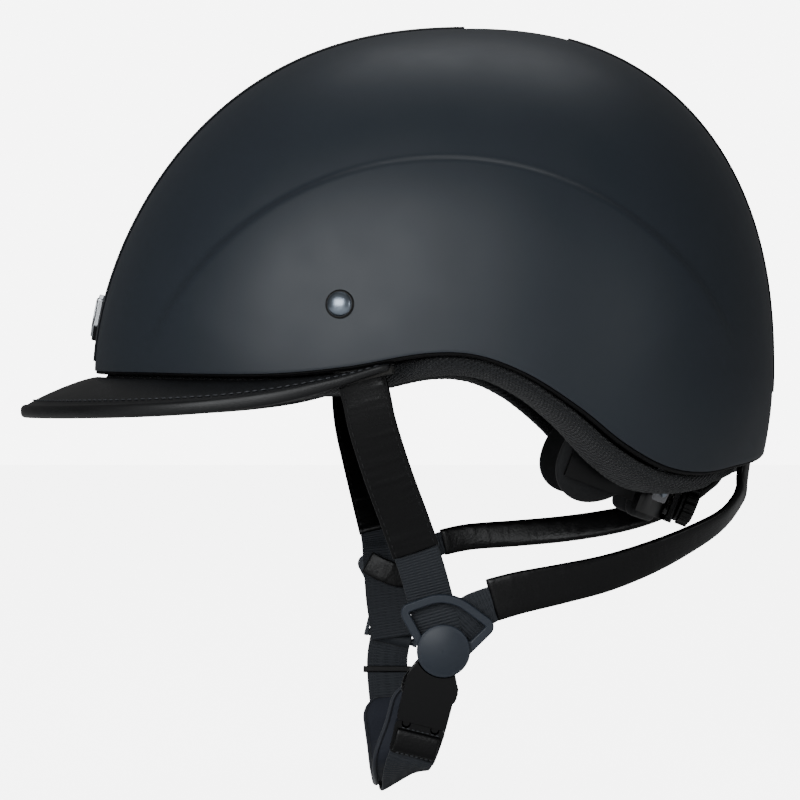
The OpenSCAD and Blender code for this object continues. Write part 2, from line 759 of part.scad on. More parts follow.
cradle_centre = [28, 0, -24.2];
cradle_slope = 21;
module cradle() {
    translate(cradle_centre) rotate([0, cradle_slope, 0]) children();
}
module arc(inner, outer, low, high, from, to) {
    rotate([0, 0, from]) rotate_extrude(angle = to - from) translate([inner, low])
        square([outer - inner, high - low]);
}
frame_reach = 37;
band_in = cradle_radius + 0.6;
band_out = cradle_radius + 2.2;
pitch_radius = 5;
tooth_count = 10;
tooth_pitch = 3.14159 * 2 * pitch_radius / tooth_count;
pitch_angle = tooth_pitch / cradle_radius * 57.2958;

module cradle_frame() {
    color("#0f0f11") cradle() difference() {
        union() {
            arc(cradle_radius - 2, cradle_radius, -11, 11, -frame_reach, frame_reach);
            for (side = [-1, 1]) rotate([0, 0, side * 31]) translate([cradle_radius - 1, 0, 0])
                rotate([0, 90, 0]) cylinder(r = 3.2, h = 3.9);
        }
        for (side = [-1, 1]) rotate([0, 0, side * 31]) translate([cradle_radius - 8, 0, 0])
            rotate([0, 90, 0]) cylinder(r = 1.1, h = 14);
    }
}
module nape_pad() {
    color("#141517") cradle() difference() {
        arc(cradle_radius - 8.4, cradle_radius - 2.3, -13.5, 13.5, -35, 35);
        for (side = [-1, 1]) rotate([0, 0, side * 31]) translate([cradle_radius - 9.5, 0, 0])
            rotate([0, 90, 0]) cylinder(r = 3.6, h = 14);
    }
}
housing_half = 17;
module adjuster_housing() {
    color("#0f0f11") cradle() difference() {
        intersection() {
            translate([cradle_radius + 0.2, -housing_half, -11]) cube([6, housing_half * 2, 22]);
            cylinder(r = cradle_radius + 4.2, h = 40, center = true);
        }
        cylinder(r = cradle_radius + 0.2, h = 40, center = true);
        arc(band_in - 0.3, band_out + 0.3, -8.6, 8.6, -20, 20);
        translate([cradle_radius - 5, 0, 0]) rotate([0, 90, 0]) cylinder(r = 3, h = 20);
    }
}
module adjuster_cover() {
    color("#17181a") cradle() difference() {
        translate([cradle_radius + 4.4, 0, 0]) rotate([0, 90, 0]) cylinder(r = 9.6, h = 1.6);
        translate([cradle_radius, 0, 0]) rotate([0, 90, 0]) cylinder(r = 2.9, h = 20);
    }
}
dial_grips = 16;
module adjuster_dial() {
    color("#1b1c1f") cradle() translate([cradle_radius + 6.3, 0, 0]) rotate([0, 90, 0]) difference() {
        union() {
            cylinder(r = dial_radius, h = 4.4);
            translate([0, 0, 4.4]) cylinder(r = dial_radius - 2, h = 0.8);
        }
        for (i = [0:dial_grips - 1]) rotate([0, 0, i * 360 / dial_grips])
            translate([dial_radius + 0.5, 0, -1]) cylinder(r = 1.2, h = 8, $fn = 24);
        translate([0, 0, -1]) cylinder(r = 1.5, h = 3.6);
    }
}
function tooth_at(angle, r, half) = [r * cos(angle) - half * sin(angle), r * sin(angle) + half * cos(angle)];
module pinion_profile() {
    root = pitch_radius - 1.15;
    tip = pitch_radius + 0.75;
    polygon([for (i = [0:tooth_count - 1]) let(a = i * 360 / tooth_count) each [
        tooth_at(a, root, -0.85), tooth_at(a, tip, -0.3), tooth_at(a, tip, 0.3), tooth_at(a, root, 0.85)
    ]]);
}
module adjuster_pinion() {
    color("#c9c9c4") cradle() translate([band_in + 0.1, 0, 0]) rotate([0, 90, 0]) {
        linear_extrude(1.5) rotate([0, 0, 18]) pinion_profile();
        translate([0, 0, 1.5]) cylinder(r = 2.6, h = cradle_radius + 6.2 - band_in - 1.6);
        cylinder(r = 1.45, h = cradle_radius + 8.6 - band_in);
    }
}
band_height = 2.4;
rack_line = pitch_radius + 1.2;
// A curved rack, for the band that runs above the pinion
module rack_band(from, to, teeth_from, teeth_to) {
    arc(band_in, band_out, rack_line, rack_line + band_height, from, to);
    for (i = [teeth_from:teeth_to]) rotate([0, 0, i * pitch_angle])
        translate([band_in + 0.2, 0, rack_line]) rotate([90, 0, 90]) linear_extrude(band_out - band_in - 0.4)
            polygon([[-0.85, 0.1], [-0.45, -1.9], [0.45, -1.9], [0.85, 0.1]]);
}
wing_from = 44;
wing_to = 73;
module wing_plate() {
    arc(band_in + 0.2, band_out + 0.3, -8, 10, wing_from - 1, wing_to - 3);
}
module adjuster_band_left() {
    color("#111214") cradle() {
        rack_band(-wing_from - 2, 15, -6, 6);
        mirror([0, 1, 0]) wing_plate();
    }
}
module adjuster_band_right() {
    color("#111214") cradle() {
        mirror([0, 0, 1]) rack_band(-15, wing_from + 2, -6, 6);
        mirror([0, 0, 1]) wing_plate();
    }
}
module wing_pad() {
    inner = cradle_radius - 6;
    intersection() {
        arc(inner, band_in - 0.1, -15.5, 15.5, wing_from, wing_to);
        rotate([0, 0, (wing_from + wing_to) / 2 + 3]) translate([inner - 6, 0, 0]) rotate([0, 90, 0])
            cylinder(r = 19.5, h = 30);
    }
}
module wing_pad_left() {
    color("#141517") cradle() mirror([0, 1, 0]) wing_pad();
}
module wing_pad_right() {
    color("#141517") cradle() wing_pad();
}

// Clear plates that carry the cradle under the foam's edge
hanger_turn = 31;
module hanger() {
    cradle() rotate([0, 0, hanger_turn]) difference() {
        translate([cradle_radius + 3.2, -10, -4.6]) hull() {
            translate([0, 0, 21]) cube([1.4, 22, 1]);
            translate([0, 5, 0]) cube([1.4, 10, 1]);
        }
        translate([cradle_radius, 0, 0]) rotate([0, 90, 0]) cylinder(r = 1.1, h = 10);
    }
}
module cradle_hanger_right() {
    color("#6c6e70") hanger();
}
module cradle_hanger_left() {
    color("#6c6e70") mirror([0, 1, 0]) hanger();
}
module hanger_pins() {
    color("#8b9096") cradle() for (side = [-1, 1]) rotate([0, 0, side * hanger_turn])
        translate([cradle_radius - 1.5, 0, 0]) rotate([0, 90, 0]) {
            cylinder(r = 1.05, h = 6.6);
            translate([0, 0, 6.2]) cylinder(r = 2.4, h = 0.9);
        }
}

outer_shell();
shell_edge_trim();
impact_liner();
rim_cushion();
headband_pad();
crown_pad();
crown_strip_front();
crown_strip_rear();
front_vent_mesh();
crown_vent_mesh();
front_badge();
side_rivet(-1);  // side_rivet_left
side_rivet(1);  // side_rivet_right
rear_anchor_rivets();
peak_board();
peak_top_cover();
peak_lining();
peak_edge_binding();
front_strap_left();
front_strap_right();
front_webbing_left();
front_webbing_right();
rear_strap_left();
rear_strap_right();
rear_webbing_left();
rear_webbing_right();
strap_divider_left();
strap_divider_right();
divider_cap_left();
divider_cap_right();
divider_bar_right();
buckle_socket();
buckle_plug();
prong_front();
prong_rear();
chin_webbing();
chin_webbing_loop();
chin_pad();
strap_keeper();
cradle_hanger_left();
cradle_hanger_right();
hanger_pins();
cradle_frame();
nape_pad();
adjuster_housing();
adjuster_cover();
adjuster_dial();
adjuster_pinion();
adjuster_band_left();
adjuster_band_right();
wing_pad_left();
wing_pad_right();
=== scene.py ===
import math
import random
import bmesh
import bpy
from mathutils import Matrix, Vector, noise


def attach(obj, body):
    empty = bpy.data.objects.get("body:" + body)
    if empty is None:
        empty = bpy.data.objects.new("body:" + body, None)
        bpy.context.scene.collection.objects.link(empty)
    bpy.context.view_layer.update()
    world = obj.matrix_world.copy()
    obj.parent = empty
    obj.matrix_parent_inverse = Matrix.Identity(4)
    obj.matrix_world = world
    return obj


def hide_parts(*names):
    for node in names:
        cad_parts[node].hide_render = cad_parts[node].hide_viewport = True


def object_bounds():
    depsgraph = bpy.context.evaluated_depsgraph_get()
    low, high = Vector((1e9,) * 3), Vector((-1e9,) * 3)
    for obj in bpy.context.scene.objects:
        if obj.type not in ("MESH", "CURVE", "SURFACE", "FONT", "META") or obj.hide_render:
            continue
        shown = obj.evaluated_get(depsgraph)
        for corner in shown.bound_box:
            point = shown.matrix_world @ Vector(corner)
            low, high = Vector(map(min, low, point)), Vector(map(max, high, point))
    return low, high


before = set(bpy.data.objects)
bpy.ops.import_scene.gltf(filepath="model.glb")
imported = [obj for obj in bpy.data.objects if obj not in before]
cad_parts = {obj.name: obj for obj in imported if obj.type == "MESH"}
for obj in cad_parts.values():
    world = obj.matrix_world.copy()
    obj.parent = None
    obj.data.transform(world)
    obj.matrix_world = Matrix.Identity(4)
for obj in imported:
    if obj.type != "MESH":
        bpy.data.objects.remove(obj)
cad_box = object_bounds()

random.seed(7)
MM = 0.001

# ---- materials ----


def linear(code):
    """An sRGB hex colour as linear RGBA."""
    parts = [int(code[i:i + 2], 16) / 255 for i in (1, 3, 5)]
    return tuple(c / 12.92 if c <= 0.04045 else ((c + 0.055) / 1.055) ** 2.4 for c in parts) + (1.0,)


def add(tree, kind, inputs=None, **settings):
    """Adds a node. inputs gives socket values, or sockets to link from."""
    node = tree.nodes.new(kind)
    for key, value in settings.items():
        setattr(node, key, value)
    for key, value in (inputs or {}).items():
        if isinstance(value, bpy.types.NodeSocket):
            tree.links.new(value, node.inputs[key])
        else:
            node.inputs[key].default_value = value
    return node


def surface(name, colour, roughness, metallic=0.0, coat=0.0, sheen=0.0, alpha_glass=0.0, ior=None,
            shine=0.5):
    made = bpy.data.materials.new(name)
    made.use_nodes = True
    tree = made.node_tree
    shader = tree.nodes["Principled BSDF"]
    shader.inputs["Base Color"].default_value = linear(colour)
    shader.inputs["Roughness"].default_value = roughness
    shader.inputs["Metallic"].default_value = metallic
    shader.inputs["Coat Weight"].default_value = coat
    shader.inputs["Coat Roughness"].default_value = 0.25
    shader.inputs["Sheen Weight"].default_value = sheen
    shader.inputs["Sheen Roughness"].default_value = 0.4
    shader.inputs["Transmission Weight"].default_value = alpha_glass
    shader.inputs["Specular IOR Level"].default_value = shine
    if ior:
        shader.inputs["IOR"].default_value = ior
    return made, tree, shader


def grain(tree, shader, size, depth, kind="ShaderNodeTexNoise", low=None, high=None):
    """Relief of a given grain size and depth in metres and, when low and high are given, a roughness that varies
    between them with a broader noise.
    """
    where = add(tree, "ShaderNodeTexCoord")
    inputs = {"Vector": where.outputs["Object"], "Scale": 1 / size}
    if kind == "ShaderNodeTexNoise":
        inputs["Detail"] = 3.0
    pattern = add(tree, kind, inputs)
    value = pattern.outputs["Distance" if kind == "ShaderNodeTexVoronoi" else "Fac"]
    relief = add(tree, "ShaderNodeBump", {"Height": value, "Distance": depth, "Strength": 1.0})
    tree.links.new(relief.outputs["Normal"], shader.inputs["Normal"])
    if low is not None:
        wide = add(tree, "ShaderNodeTexNoise",
                   {"Vector": where.outputs["Object"], "Scale": 45.0, "Detail": 2.0})
        spread = add(tree, "ShaderNodeMapRange", {"Value": wide.outputs["Fac"], "From Min": 0.3,
                                                  "From Max": 0.7, "To Min": low, "To Max": high})
        tree.links.new(spread.outputs["Result"], shader.inputs["Roughness"])
    return relief


# Injection moulded shell with a soft matt coat
shell_coat, tree, shader = surface("soft_matt_shell_coat", "#232a32", 0.46)
grain(tree, shader, 0.0006, 0.000012, low=0.44, high=0.5)
# The crown strip is smoother moulded plastic
strip_plastic, tree, shader = surface("strip_plastic", "#1b1f24", 0.42)
grain(tree, shader, 0.0005, 0.000012)
# Extruded rubber lip along the shell's edge
lip_rubber, tree, shader = surface("edge_lip_rubber", "#050506", 0.6, shine=0.25)
grain(tree, shader, 0.0008, 0.00001)
# Black expanded foam, with the skin of its beads
bead_foam, tree, shader = surface("bead_foam", "#1f2022", 0.8)
grain(tree, shader, 0.0035, 0.00012, kind="ShaderNodeTexVoronoi")
# Brushed nylon that covers the inner pads
pad_cloth, tree, shader = surface("brushed_pad_cloth", "#0f1012", 0.85, sheen=0.12)
grain(tree, shader, 0.0006, 0.00006)
# Cotton filled chin pad, a little bluer
chin_cloth, tree, shader = surface("chin_pad_cloth", "#20242f", 0.8, sheen=0.2)
grain(tree, shader, 0.0007, 0.00008)
# Bias tape round the chin pad
tape_cloth, tree, shader = surface("bias_tape", "#2b2e36", 0.7, sheen=0.2)
grain(tree, shader, 0.0005, 0.00005)
# Full grain leather, dyed black
leather, tree, shader = surface("black_leather", "#050506", 0.36, coat=0.04, shine=0.3)
grain(tree, shader, 0.0009, 0.00005, kind="ShaderNodeTexVoronoi", low=0.26, high=0.4)
# The finer leather of the peak
peak_leather, tree, shader = surface("peak_leather", "#090a0c", 0.44, coat=0.03)
grain(tree, shader, 0.0007, 0.00004, kind="ShaderNodeTexVoronoi", low=0.4, high=0.5)
# Waxed thread
thread, tree, shader = surface("waxed_thread", "#3a3c40", 0.5)
grain(tree, shader, 0.0003, 0.00003)
# Black bonded thread in the sleeves
dark_thread, tree, shader = surface("bonded_thread", "#101113", 0.45)
grain(tree, shader, 0.0003, 0.00003)
# Stamped metal with a steel blue tone
rivet_steel, tree, shader = surface("rivet_steel", "#8f99a5", 0.32, metallic=1.0)
grain(tree, shader, 0.0012, 0.000008, low=0.26, high=0.36)
# Chrome plate
chrome, tree, shader = surface("chrome_plate", "#c9ccd0", 0.12, metallic=1.0)
grain(tree, shader, 0.004, 0.00001)
# Acetal dividers
divider_plastic, tree, shader = surface("divider_plastic", "#29303a", 0.45)
grain(tree, shader, 0.0004, 0.000015)
# Glossy acetal buckle
buckle_plastic, tree, shader = surface("buckle_plastic", "#040405", 0.16, shine=0.35)
grain(tree, shader, 0.003, 0.00002)
# Moulded nylon of the adjuster
adjuster_plastic, tree, shader = surface("adjuster_plastic", "#080809", 0.36, shine=0.35)
grain(tree, shader, 0.0005, 0.00001)
# Natural acetal pinion
pinion_plastic, tree, shader = surface("natural_acetal", "#c6c6bf", 0.4)
grain(tree, shader, 0.0005, 0.00001)
# Smoked clear polycarbonate
smoked_clear, tree, shader = surface("smoked_polycarbonate", "#9a9ba0", 0.2, alpha_glass=0.3, ior=1.58)
grain(tree, shader, 0.004, 0.00002)
# Rubber keeper band
keeper_rubber, tree, shader = surface("keeper_rubber", "#070708", 0.5, shine=0.3)
grain(tree, shader, 0.0008, 0.00002)
# Fibre board inside the peak
board, tree, shader = surface("fibre_board", "#2d2c2a", 0.9)
grain(tree, shader, 0.001, 0.0001)
# Black wire gauze
gauze, tree, shader = surface("vent_gauze", "#0c0c0d", 0.45)
grain(tree, shader, 0.001, 0.00001)


def woven(name, colour, along, across, depth, slant):
    """Woven cloth: threads at a given pitch along and across the piece's own UV, in metres."""
    made, tree, shader = surface(name, colour, 0.7, sheen=0.1)
    where = add(tree, "ShaderNodeTexCoord")
    turned = add(tree, "ShaderNodeMapping", {"Vector": where.outputs["UV"], "Rotation": (0.0, 0.0, slant)})
    parts = add(tree, "ShaderNodeSeparateXYZ", {"Vector": turned.outputs["Vector"]})
    waves = []
    for output, pitch in (("X", along), ("Y", across)):
        phase = add(tree, "ShaderNodeMath", {0: parts.outputs[output], 1: 2 * math.pi / pitch},
                    operation="MULTIPLY")
        wave = add(tree, "ShaderNodeMath", {0: phase.outputs[0]}, operation="SINE")
        waves.append(wave.outputs[0])
    both = add(tree, "ShaderNodeMath", {0: waves[0], 1: waves[1]}, operation="MULTIPLY")
    joined = add(tree, "ShaderNodeMath", {0: both.outputs[0], 1: waves[0]}, operation="ADD")
    relief = add(tree, "ShaderNodeBump", {"Height": joined.outputs[0], "Distance": depth, "Strength": 1.0})
    tree.links.new(relief.outputs["Normal"], shader.inputs["Normal"])
    light = add(tree, "ShaderNodeMapRange", {"Value": joined.outputs[0], "From Min": -1.6, "From Max": 1.6,
                                             "To Min": 0.62, "To Max": 0.8})
    tree.links.new(light.outputs["Result"], shader.inputs["Roughness"])
    return made


webbing = woven("nylon_webbing", "#24282e", 0.0012, 0.0009, 0.00004, 0.0)
roll_mesh = woven("rim_roll_mesh", "#1b1d20", 0.0019, 0.0019, 0.0004, 0.78)

# ---- making pieces ----


def finish_piece(bm, name, paint, body, sharp=40):
    bmesh.ops.recalc_face_normals(bm, faces=bm.faces)
    mesh = bpy.data.meshes.new(name)
    bm.to_mesh(mesh)
    bm.free()
    mesh.polygons.foreach_set("use_smooth", [True] * len(mesh.polygons))
    mesh.set_sharp_from_angle(angle=math.radians(sharp))
    mesh.materials.append(paint)
    made = bpy.data.objects.new(name, mesh)
    bpy.context.scene.collection.objects.link(made)
    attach(made, body)
    return made


def patch(name, across, along, place, paint, body="helmet", size=(1, 1), close=True, edit=None):
    """A grid moved by a formula of (u, v). Edges that meet are merged, and open rings are closed."""
    bm = bmesh.new()
    bmesh.ops.create_grid(bm, x_segments=across, y_segments=along, size=1)
    layer = bm.loops.layers.uv.new("UVMap")
    for face in bm.faces:
        for corner in face.loops:
            here = corner.vert.co
            corner[layer].uv = ((here.x + 1) / 2 * size[0], (here.y + 1) / 2 * size[1])
    for v in bm.verts:
        v.co = Vector(place((v.co.x + 1) / 2, (v.co.y + 1) / 2)) * MM
    bmesh.ops.remove_doubles(bm, verts=bm.verts, dist=2e-6)
    if close:
        rims = [e for e in bm.edges if e.is_boundary]
        if rims:
            bmesh.ops.holes_fill(bm, edges=rims, sides=0)
    if edit:
        edit(bm)
    return finish_piece(bm, name, paint, body)


EDGE_ANGLE = 28


def derive(node, paint, body="helmet", bevel=0.35, segments=2):
    """A CAD node's mesh with merged points and softened edges."""
    bm = bmesh.new()
    bm.from_mesh(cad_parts[node].data)
    bmesh.ops.remove_doubles(bm, verts=bm.verts, dist=1e-6)
    bmesh.ops.dissolve_limit(bm, angle_limit=math.radians(0.6), verts=bm.verts, edges=bm.edges)
    made = finish_piece(bm, node + "_look", paint, body, EDGE_ANGLE)
    if bevel:
        rounding = made.modifiers.new("edges", "BEVEL")
        rounding.width = bevel * MM
        rounding.segments = segments
        rounding.limit_method = "ANGLE"
        rounding.angle_limit = math.radians(EDGE_ANGLE)
    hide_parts(node)
    return made


def lathe(name, profile, where, paint):
    """A profile of [radius, height] spun about z and put at a place."""
    bm = bmesh.new()
    verts = [bm.verts.new(Vector((r * MM, 0, h * MM))) for r, h in profile]
    edges = [bm.edges.new(pair) for pair in zip(verts, verts[1:])]
    bmesh.ops.spin(bm, geom=verts + edges, cent=(0, 0, 0), axis=(0, 0, 1), angle=2 * math.pi, steps=48,
                   use_duplicate=False)
    bmesh.ops.remove_doubles(bm, verts=bm.verts, dist=2e-6)
    bmesh.ops.transform(bm, matrix=where, verts=bm.verts)
    return finish_piece(bm, name, paint, "helmet", 50)


# ---- the same formulas as the model's ----

CROWN_X = 14
FRONT, REAR, HALF, CROWN = 152.8, 123.4, 110, 139
WALL, LINER = 2.8, 26
RIM = [[0, -33], [28, -37], [40, -39.5], [50, -37], [60, -28], [70, -14], [80, -2],
       [90, 5], [100, 5.5], [115, 0.5], [130, -2], [155, -1], [180, 0]]


def clamp01(x):
    return min(1.0, max(0.0, x))


def ease(x):
    x = clamp01(x)
    return x * x * (3 - 2 * x)


def mix(a, b, t):
    return a + (b - a) * t


def curve_at(p, x):
    i = 0
    while i < len(p) - 2 and x >= p[i + 1][0]:
        i += 1

    def slope(k):
        return 0 if k in (0, len(p) - 1) else (p[k + 1][1] - p[k - 1][1]) / (p[k + 1][0] - p[k - 1][0])
    h = p[i + 1][0] - p[i][0]
    t = (x - p[i][0]) / h
    return (p[i][1] * (1 - 3 * t * t + 2 * t ** 3) + p[i + 1][1] * (3 * t * t - 2 * t ** 3)
            + h * slope(i) * (t - 2 * t * t + t ** 3) + h * slope(i + 1) * (t ** 3 - t * t))


def reach(r, h, across, up, z):
    return r * max(0, 1 - min(1, z / h) ** up) ** (1 / across) if z > 0 else r - 0.0033 * z * z


def reaches(front, z, d):
    f = reach((FRONT if front else REAR) - d, CROWN - d, 2.4 if front else 2.32, 1.72 if front else 2.32, z)
    return f, reach(HALF - d, CROWN - d, 2.4, 2.2, z)


def dome(a, z, d):
    c, s = math.cos(math.radians(a)), math.sin(math.radians(a))
    f, w = reaches(c < 0, z, d)
    if f < 1e-6 or w < 1e-6:
        return Vector((CROWN_X, 0, z))
    r = 1 / ((abs(c) / f) ** 2.2 + (abs(s) / w) ** 2.2) ** (1 / 2.2)
    return Vector((CROWN_X + r * c, r * s, z))


def fold(a):
    a = a % 360
    return 360 - a if a > 180 else a


def rim(a):
    return curve_at(RIM, fold(a))


def row_height(a, t, d, lift=0):
    return (CROWN - d) * math.sin(math.pi / 2 * t) + (rim(a) + lift) * (1 - t) ** 2


def channel(a, z):
    b = fold(a)
    return (4.6 * max(clamp01((17 - abs(b - 115)) / 6), clamp01((15 - abs(b - 18)) / 6))
            * clamp01((62 - z) / 14))


def inside(x, y, z, d):
    f, w = reaches(x < CROWN_X, z, d)
    return (z < CROWN - d and f > 0.01 and w > abs(y) + 0.01
            and (abs(x - CROWN_X) / f) ** 2.2 + (abs(y) / w) ** 2.2 < 1)


def over_crown(phi, y, d):
    lo, hi = 40, 190
    c, s = math.cos(math.radians(phi)), math.sin(math.radians(phi))
    for _ in range(26):
        m = (lo + hi) / 2
        if inside(CROWN_X - m * c, y, m * s, d):
            lo = m
        else:
            hi = m
    return Vector((CROWN_X - lo * c, y, lo * s))


def dome_normal(a, z):
    return (dome(a + 1, z, 0) - dome(a - 1, z, 0)).cross(dome(a, z + 2, 0) - dome(a, z - 2, 0)).normalized()


def dome_tangent(a, z, d=0):
    return (dome(a - 2, z, d) - dome(a + 2, z, d)).normalized()


def flip(side, v):
    return Vector((v[0], side * v[1], v[2]))


def facing(where, axis, side):
    """The matrix that puts a piece at a place in millimetres with z along an axis."""
    z = axis.normalized()
    y = z.cross(side).normalized()
    x = y.cross(z)
    return Matrix.Translation(where * MM) @ Matrix((x, y, z)).transposed().to_4x4()


def on_shell(side, a, z, d):
    return facing(flip(side, dome(a, z, d)), flip(side, dome_normal(a, z)), flip(side, dome_tangent(a, z)))


# ---- shell ----

ARC_X, ARC_Z, ARC_R = 2, -46, 127


def side_swell(p):
    """How far the moulded side panel stands out, in millimetres. It ends in an arch."""
    dx, dz = p.x - ARC_X, p.z - ARC_Z
    r = math.hypot(dx, dz)
    turn = math.degrees(math.atan2(dz, dx))
    ends = ease((turn - 23) / 13) * ease((157 - turn) / 13)
    return 1.5 * ease((ARC_R - r) / 2.4) * (1 - ease((ARC_R - 2 - r) / 58)) * ends


def shell_point(u, v):
    a = 360 * u
    z = row_height(a, v, 0)
    p = dome(a, z, 0)
    return dome(a, z, -side_swell(p))


def cut_window(bm, planes):
    """Cuts a window between planes, each a point and the way out of the window."""
    for point, out in planes:
        near = [f for f in bm.faces if (f.calc_center_median() - Vector(planes[0][0]) * MM).length < 0.05]
        geom = list({v for f in near for v in f.verts}) + list({e for f in near for e in f.edges}) + near
        bmesh.ops.bisect_plane(bm, geom=geom, plane_co=Vector(point) * MM, plane_no=Vector(out), dist=1e-7)
    gone = [f for f in bm.faces if (f.calc_center_median() - Vector(planes[0][0]) * MM).length < 0.06
            and all((f.calc_center_median() - Vector(p) * MM).dot(Vector(n)) < 0 for p, n in planes)]
    bmesh.ops.delete(bm, geom=gone, context="FACES")


def vent_planes(x, z, tilt, length, width):
    t = math.radians(tilt)
    along = Vector((math.cos(t), 0, -math.sin(t)))
    out = Vector((math.sin(t), 0, math.cos(t)))
    middle = Vector((x, 0, z))
    return [(middle + along * length / 2, along), (middle - along * length / 2, -along),
            (middle + Vector((0, width / 2, 0)), (0, 1, 0)), (middle - Vector((0, width / 2, 0)), (0, -1, 0)),
            (middle - out * 9, -out)]


FRONT_VENT = vent_planes(-121.5, 60, -66, 24, 26)
CROWN_VENT = vent_planes(33, 137, 4, 27, 30)


def open_vents(bm):
    for planes in (FRONT_VENT, CROWN_VENT):
        cut_window(bm, planes)


shell = patch("shell_moulding", 360, 190, shell_point, shell_coat, close=False, edit=open_vents)
thick = shell.modifiers.new("wall", "SOLIDIFY")
thick.thickness = WALL * MM
thick.offset = -1
edge = shell.modifiers.new("vent_edges", "BEVEL")
edge.width = 0.0005
edge.segments = 2
edge.limit_method = "ANGLE"
edge.angle_limit = math.radians(50)
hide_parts("outer_shell")


def lip_point(u, v):
    a, t = 360 * u, 2 * math.pi * v
    return dome(a, rim(a) - 0.5 + 0.85 * math.sin(t), 1.75 + 1.3 * math.cos(t))


lip = patch("edge_lip", 360, 12, lip_point, lip_rubber, close=False)
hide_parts("shell_edge_trim")


def strip_piece(name, start, end, half_start, half_end, rows, node, edit=None, round_start=0):
    """A raised strip over the crown with rolled edges and a flat top."""
    def place(u, v):
        t = ease(clamp01((min(u, 1 - u)) / 0.03)) if round_start else 1
        phi, half = mix(start, end, u), mix(half_start, half_end, u)
        half *= mix(0.86, 1, t)
        turn = 2 * math.pi * v
        x = math.copysign(abs(math.cos(turn)) ** 0.5, math.cos(turn))
        h = math.copysign(abs(math.sin(turn)) ** 0.7, math.sin(turn))
        return over_crown(phi, half * x, -0.3 - 0.5 * h)
    made = patch(name, rows, 40, place, strip_plastic, edit=edit)
    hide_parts(node)
    return made


def cut_solid(bm, planes):
    """Takes the part of a closed piece between planes away, and closes the cut."""
    cut_window(bm, planes)
    rims = [e for e in bm.edges if e.is_boundary]
    bmesh.ops.bridge_loops(bm, edges=rims)


strip_piece("crown_strip_front_look", 1.5, 89, 19, 24, 140, "crown_strip_front",
            edit=lambda bm: cut_solid(bm, FRONT_VENT))
strip_piece("crown_strip_rear_look", 106.5, 184, 24, 15, 120, "crown_strip_rear", round_start=1)


def gauze_piece(name, start, end, half, node, around_cells, along_cells):
    bm = bmesh.new()
    bmesh.ops.create_grid(bm, x_segments=along_cells, y_segments=around_cells, size=1)
    for v in bm.verts:
        v.co = over_crown(mix(start, end, (v.co.x + 1) / 2), half * v.co.y, WALL - 0.9) * MM
    cells = list(bm.faces)
    bmesh.ops.inset_individual(bm, faces=cells, thickness=0.0004, depth=0, use_even_offset=True)
    bmesh.ops.delete(bm, geom=cells, context="FACES")
    made = finish_piece(bm, name, gauze, "helmet")
    wall = made.modifiers.new("wire", "SOLIDIFY")
    wall.thickness = 0.0006
    wall.offset = 0
    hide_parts(node)
    return made


gauze_piece("front_gauze", 17.5, 31.5, 12.6, "front_vent_mesh", 12, 15)
gauze_piece("crown_gauze", 91.5, 105.5, 14.4, "crown_vent_mesh", 14, 15)

# ---- badge and rivets ----

derive("front_badge", chrome, bevel=0.5, segments=3)
for n, side in (("left", -1), ("right", 1)):
    place = on_shell(side, 116, 24, 0)
    lathe("rivet_washer_" + n, [[4.1, 0.0], [5.4, 0.05], [5.5, 0.35], [5.1, 0.7], [4.6, 0.75], [4.1, 0.7],
                                [4.1, 0.0]], place, adjuster_plastic)
    head = lathe("side_rivet_" + n + "_look", [[0, -7.1], [1.9, -7.1], [1.9, 0.2], [4.5, 0.3], [4.75, 0.6],
                                               [4.6, 1.0], [3.7, 1.65], [2.4, 2.15], [1.2, 2.4], [0, 2.5]],
                 place, rivet_steel)
    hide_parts("side_rivet_" + n)
derive("rear_anchor_rivets", rivet_steel, bevel=0.25)

# ---- peak ----

SHAPE = [[106, 0.1], [114, 0.24], [124, 0.48], [136, 0.74], [150, 0.92], [166, 0.99], [180, 1]]
FALL = [[106, 0.12], [114, 0.27], [124, 0.51], [136, 0.75], [150, 0.92], [166, 1], [180, 1.03]]
PEAK_WALL = 4.6


def peak_at(a, v, h):
    base = dome(a, rim(a) - 2.2, 2.4)
    out = Vector((base.x - CROWN_X, base.y * 1.15, 0)).normalized()
    length = 2.4 + 29 * curve_at(SHAPE, fold(a))
    drop = 14 * curve_at(FALL, fold(a)) - 2
    return base + out * length * v + Vector((0, 0, -drop * v ** 1.25 + h)) + out * h * 0.3 * v


def peak_azimuth(u):
    return mix(106, 254, u)


def taper(u):
    """Leather gets thinner towards the peak's two ends."""
    return mix(0.55, 1, ease(min(u, 1 - u) / 0.14))


def peak_end(u):
    return math.sqrt(clamp01(1 - (1 - clamp01(min(u, 1 - u) / 0.012)) ** 2))


def peak_skin(name, top, bottom, reach_out, paint, node, pillow):
    def place(u, v):
        a, t = peak_azimuth(u), 2 * math.pi * v
        x = math.copysign(abs(math.cos(t)) ** 0.45, math.cos(t))
        h = math.copysign(abs(math.sin(t)) ** 0.8, math.sin(t))
        out = (x + 1) / 2 * reach_out
        swell = pillow * math.sin(math.pi * clamp01(out)) ** 0.6
        middle, half = (top + bottom) / 2, (bottom - top) / 2 * peak_end(u)
        return peak_at(a, out, (half * h - middle + swell) * taper(u))
    made = patch(name, 200, 56, place, paint, size=(0.46, 0.06))
    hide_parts(node)
    return made


peak_skin("peak_cover_look", -0.1, 0.98, 0.97, peak_leather, "peak_top_cover", 0.5)
peak_skin("peak_lining_look", PEAK_WALL - 1, PEAK_WALL + 0.1, 0.97, peak_leather, "peak_lining", 0.0)
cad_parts["peak_board"].data.materials.clear()
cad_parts["peak_board"].data.materials.append(board)


def edge_frame(a):
    base = dome(a, 0, 0)
    return Vector((base.x - CROWN_X, base.y, 0)).normalized()


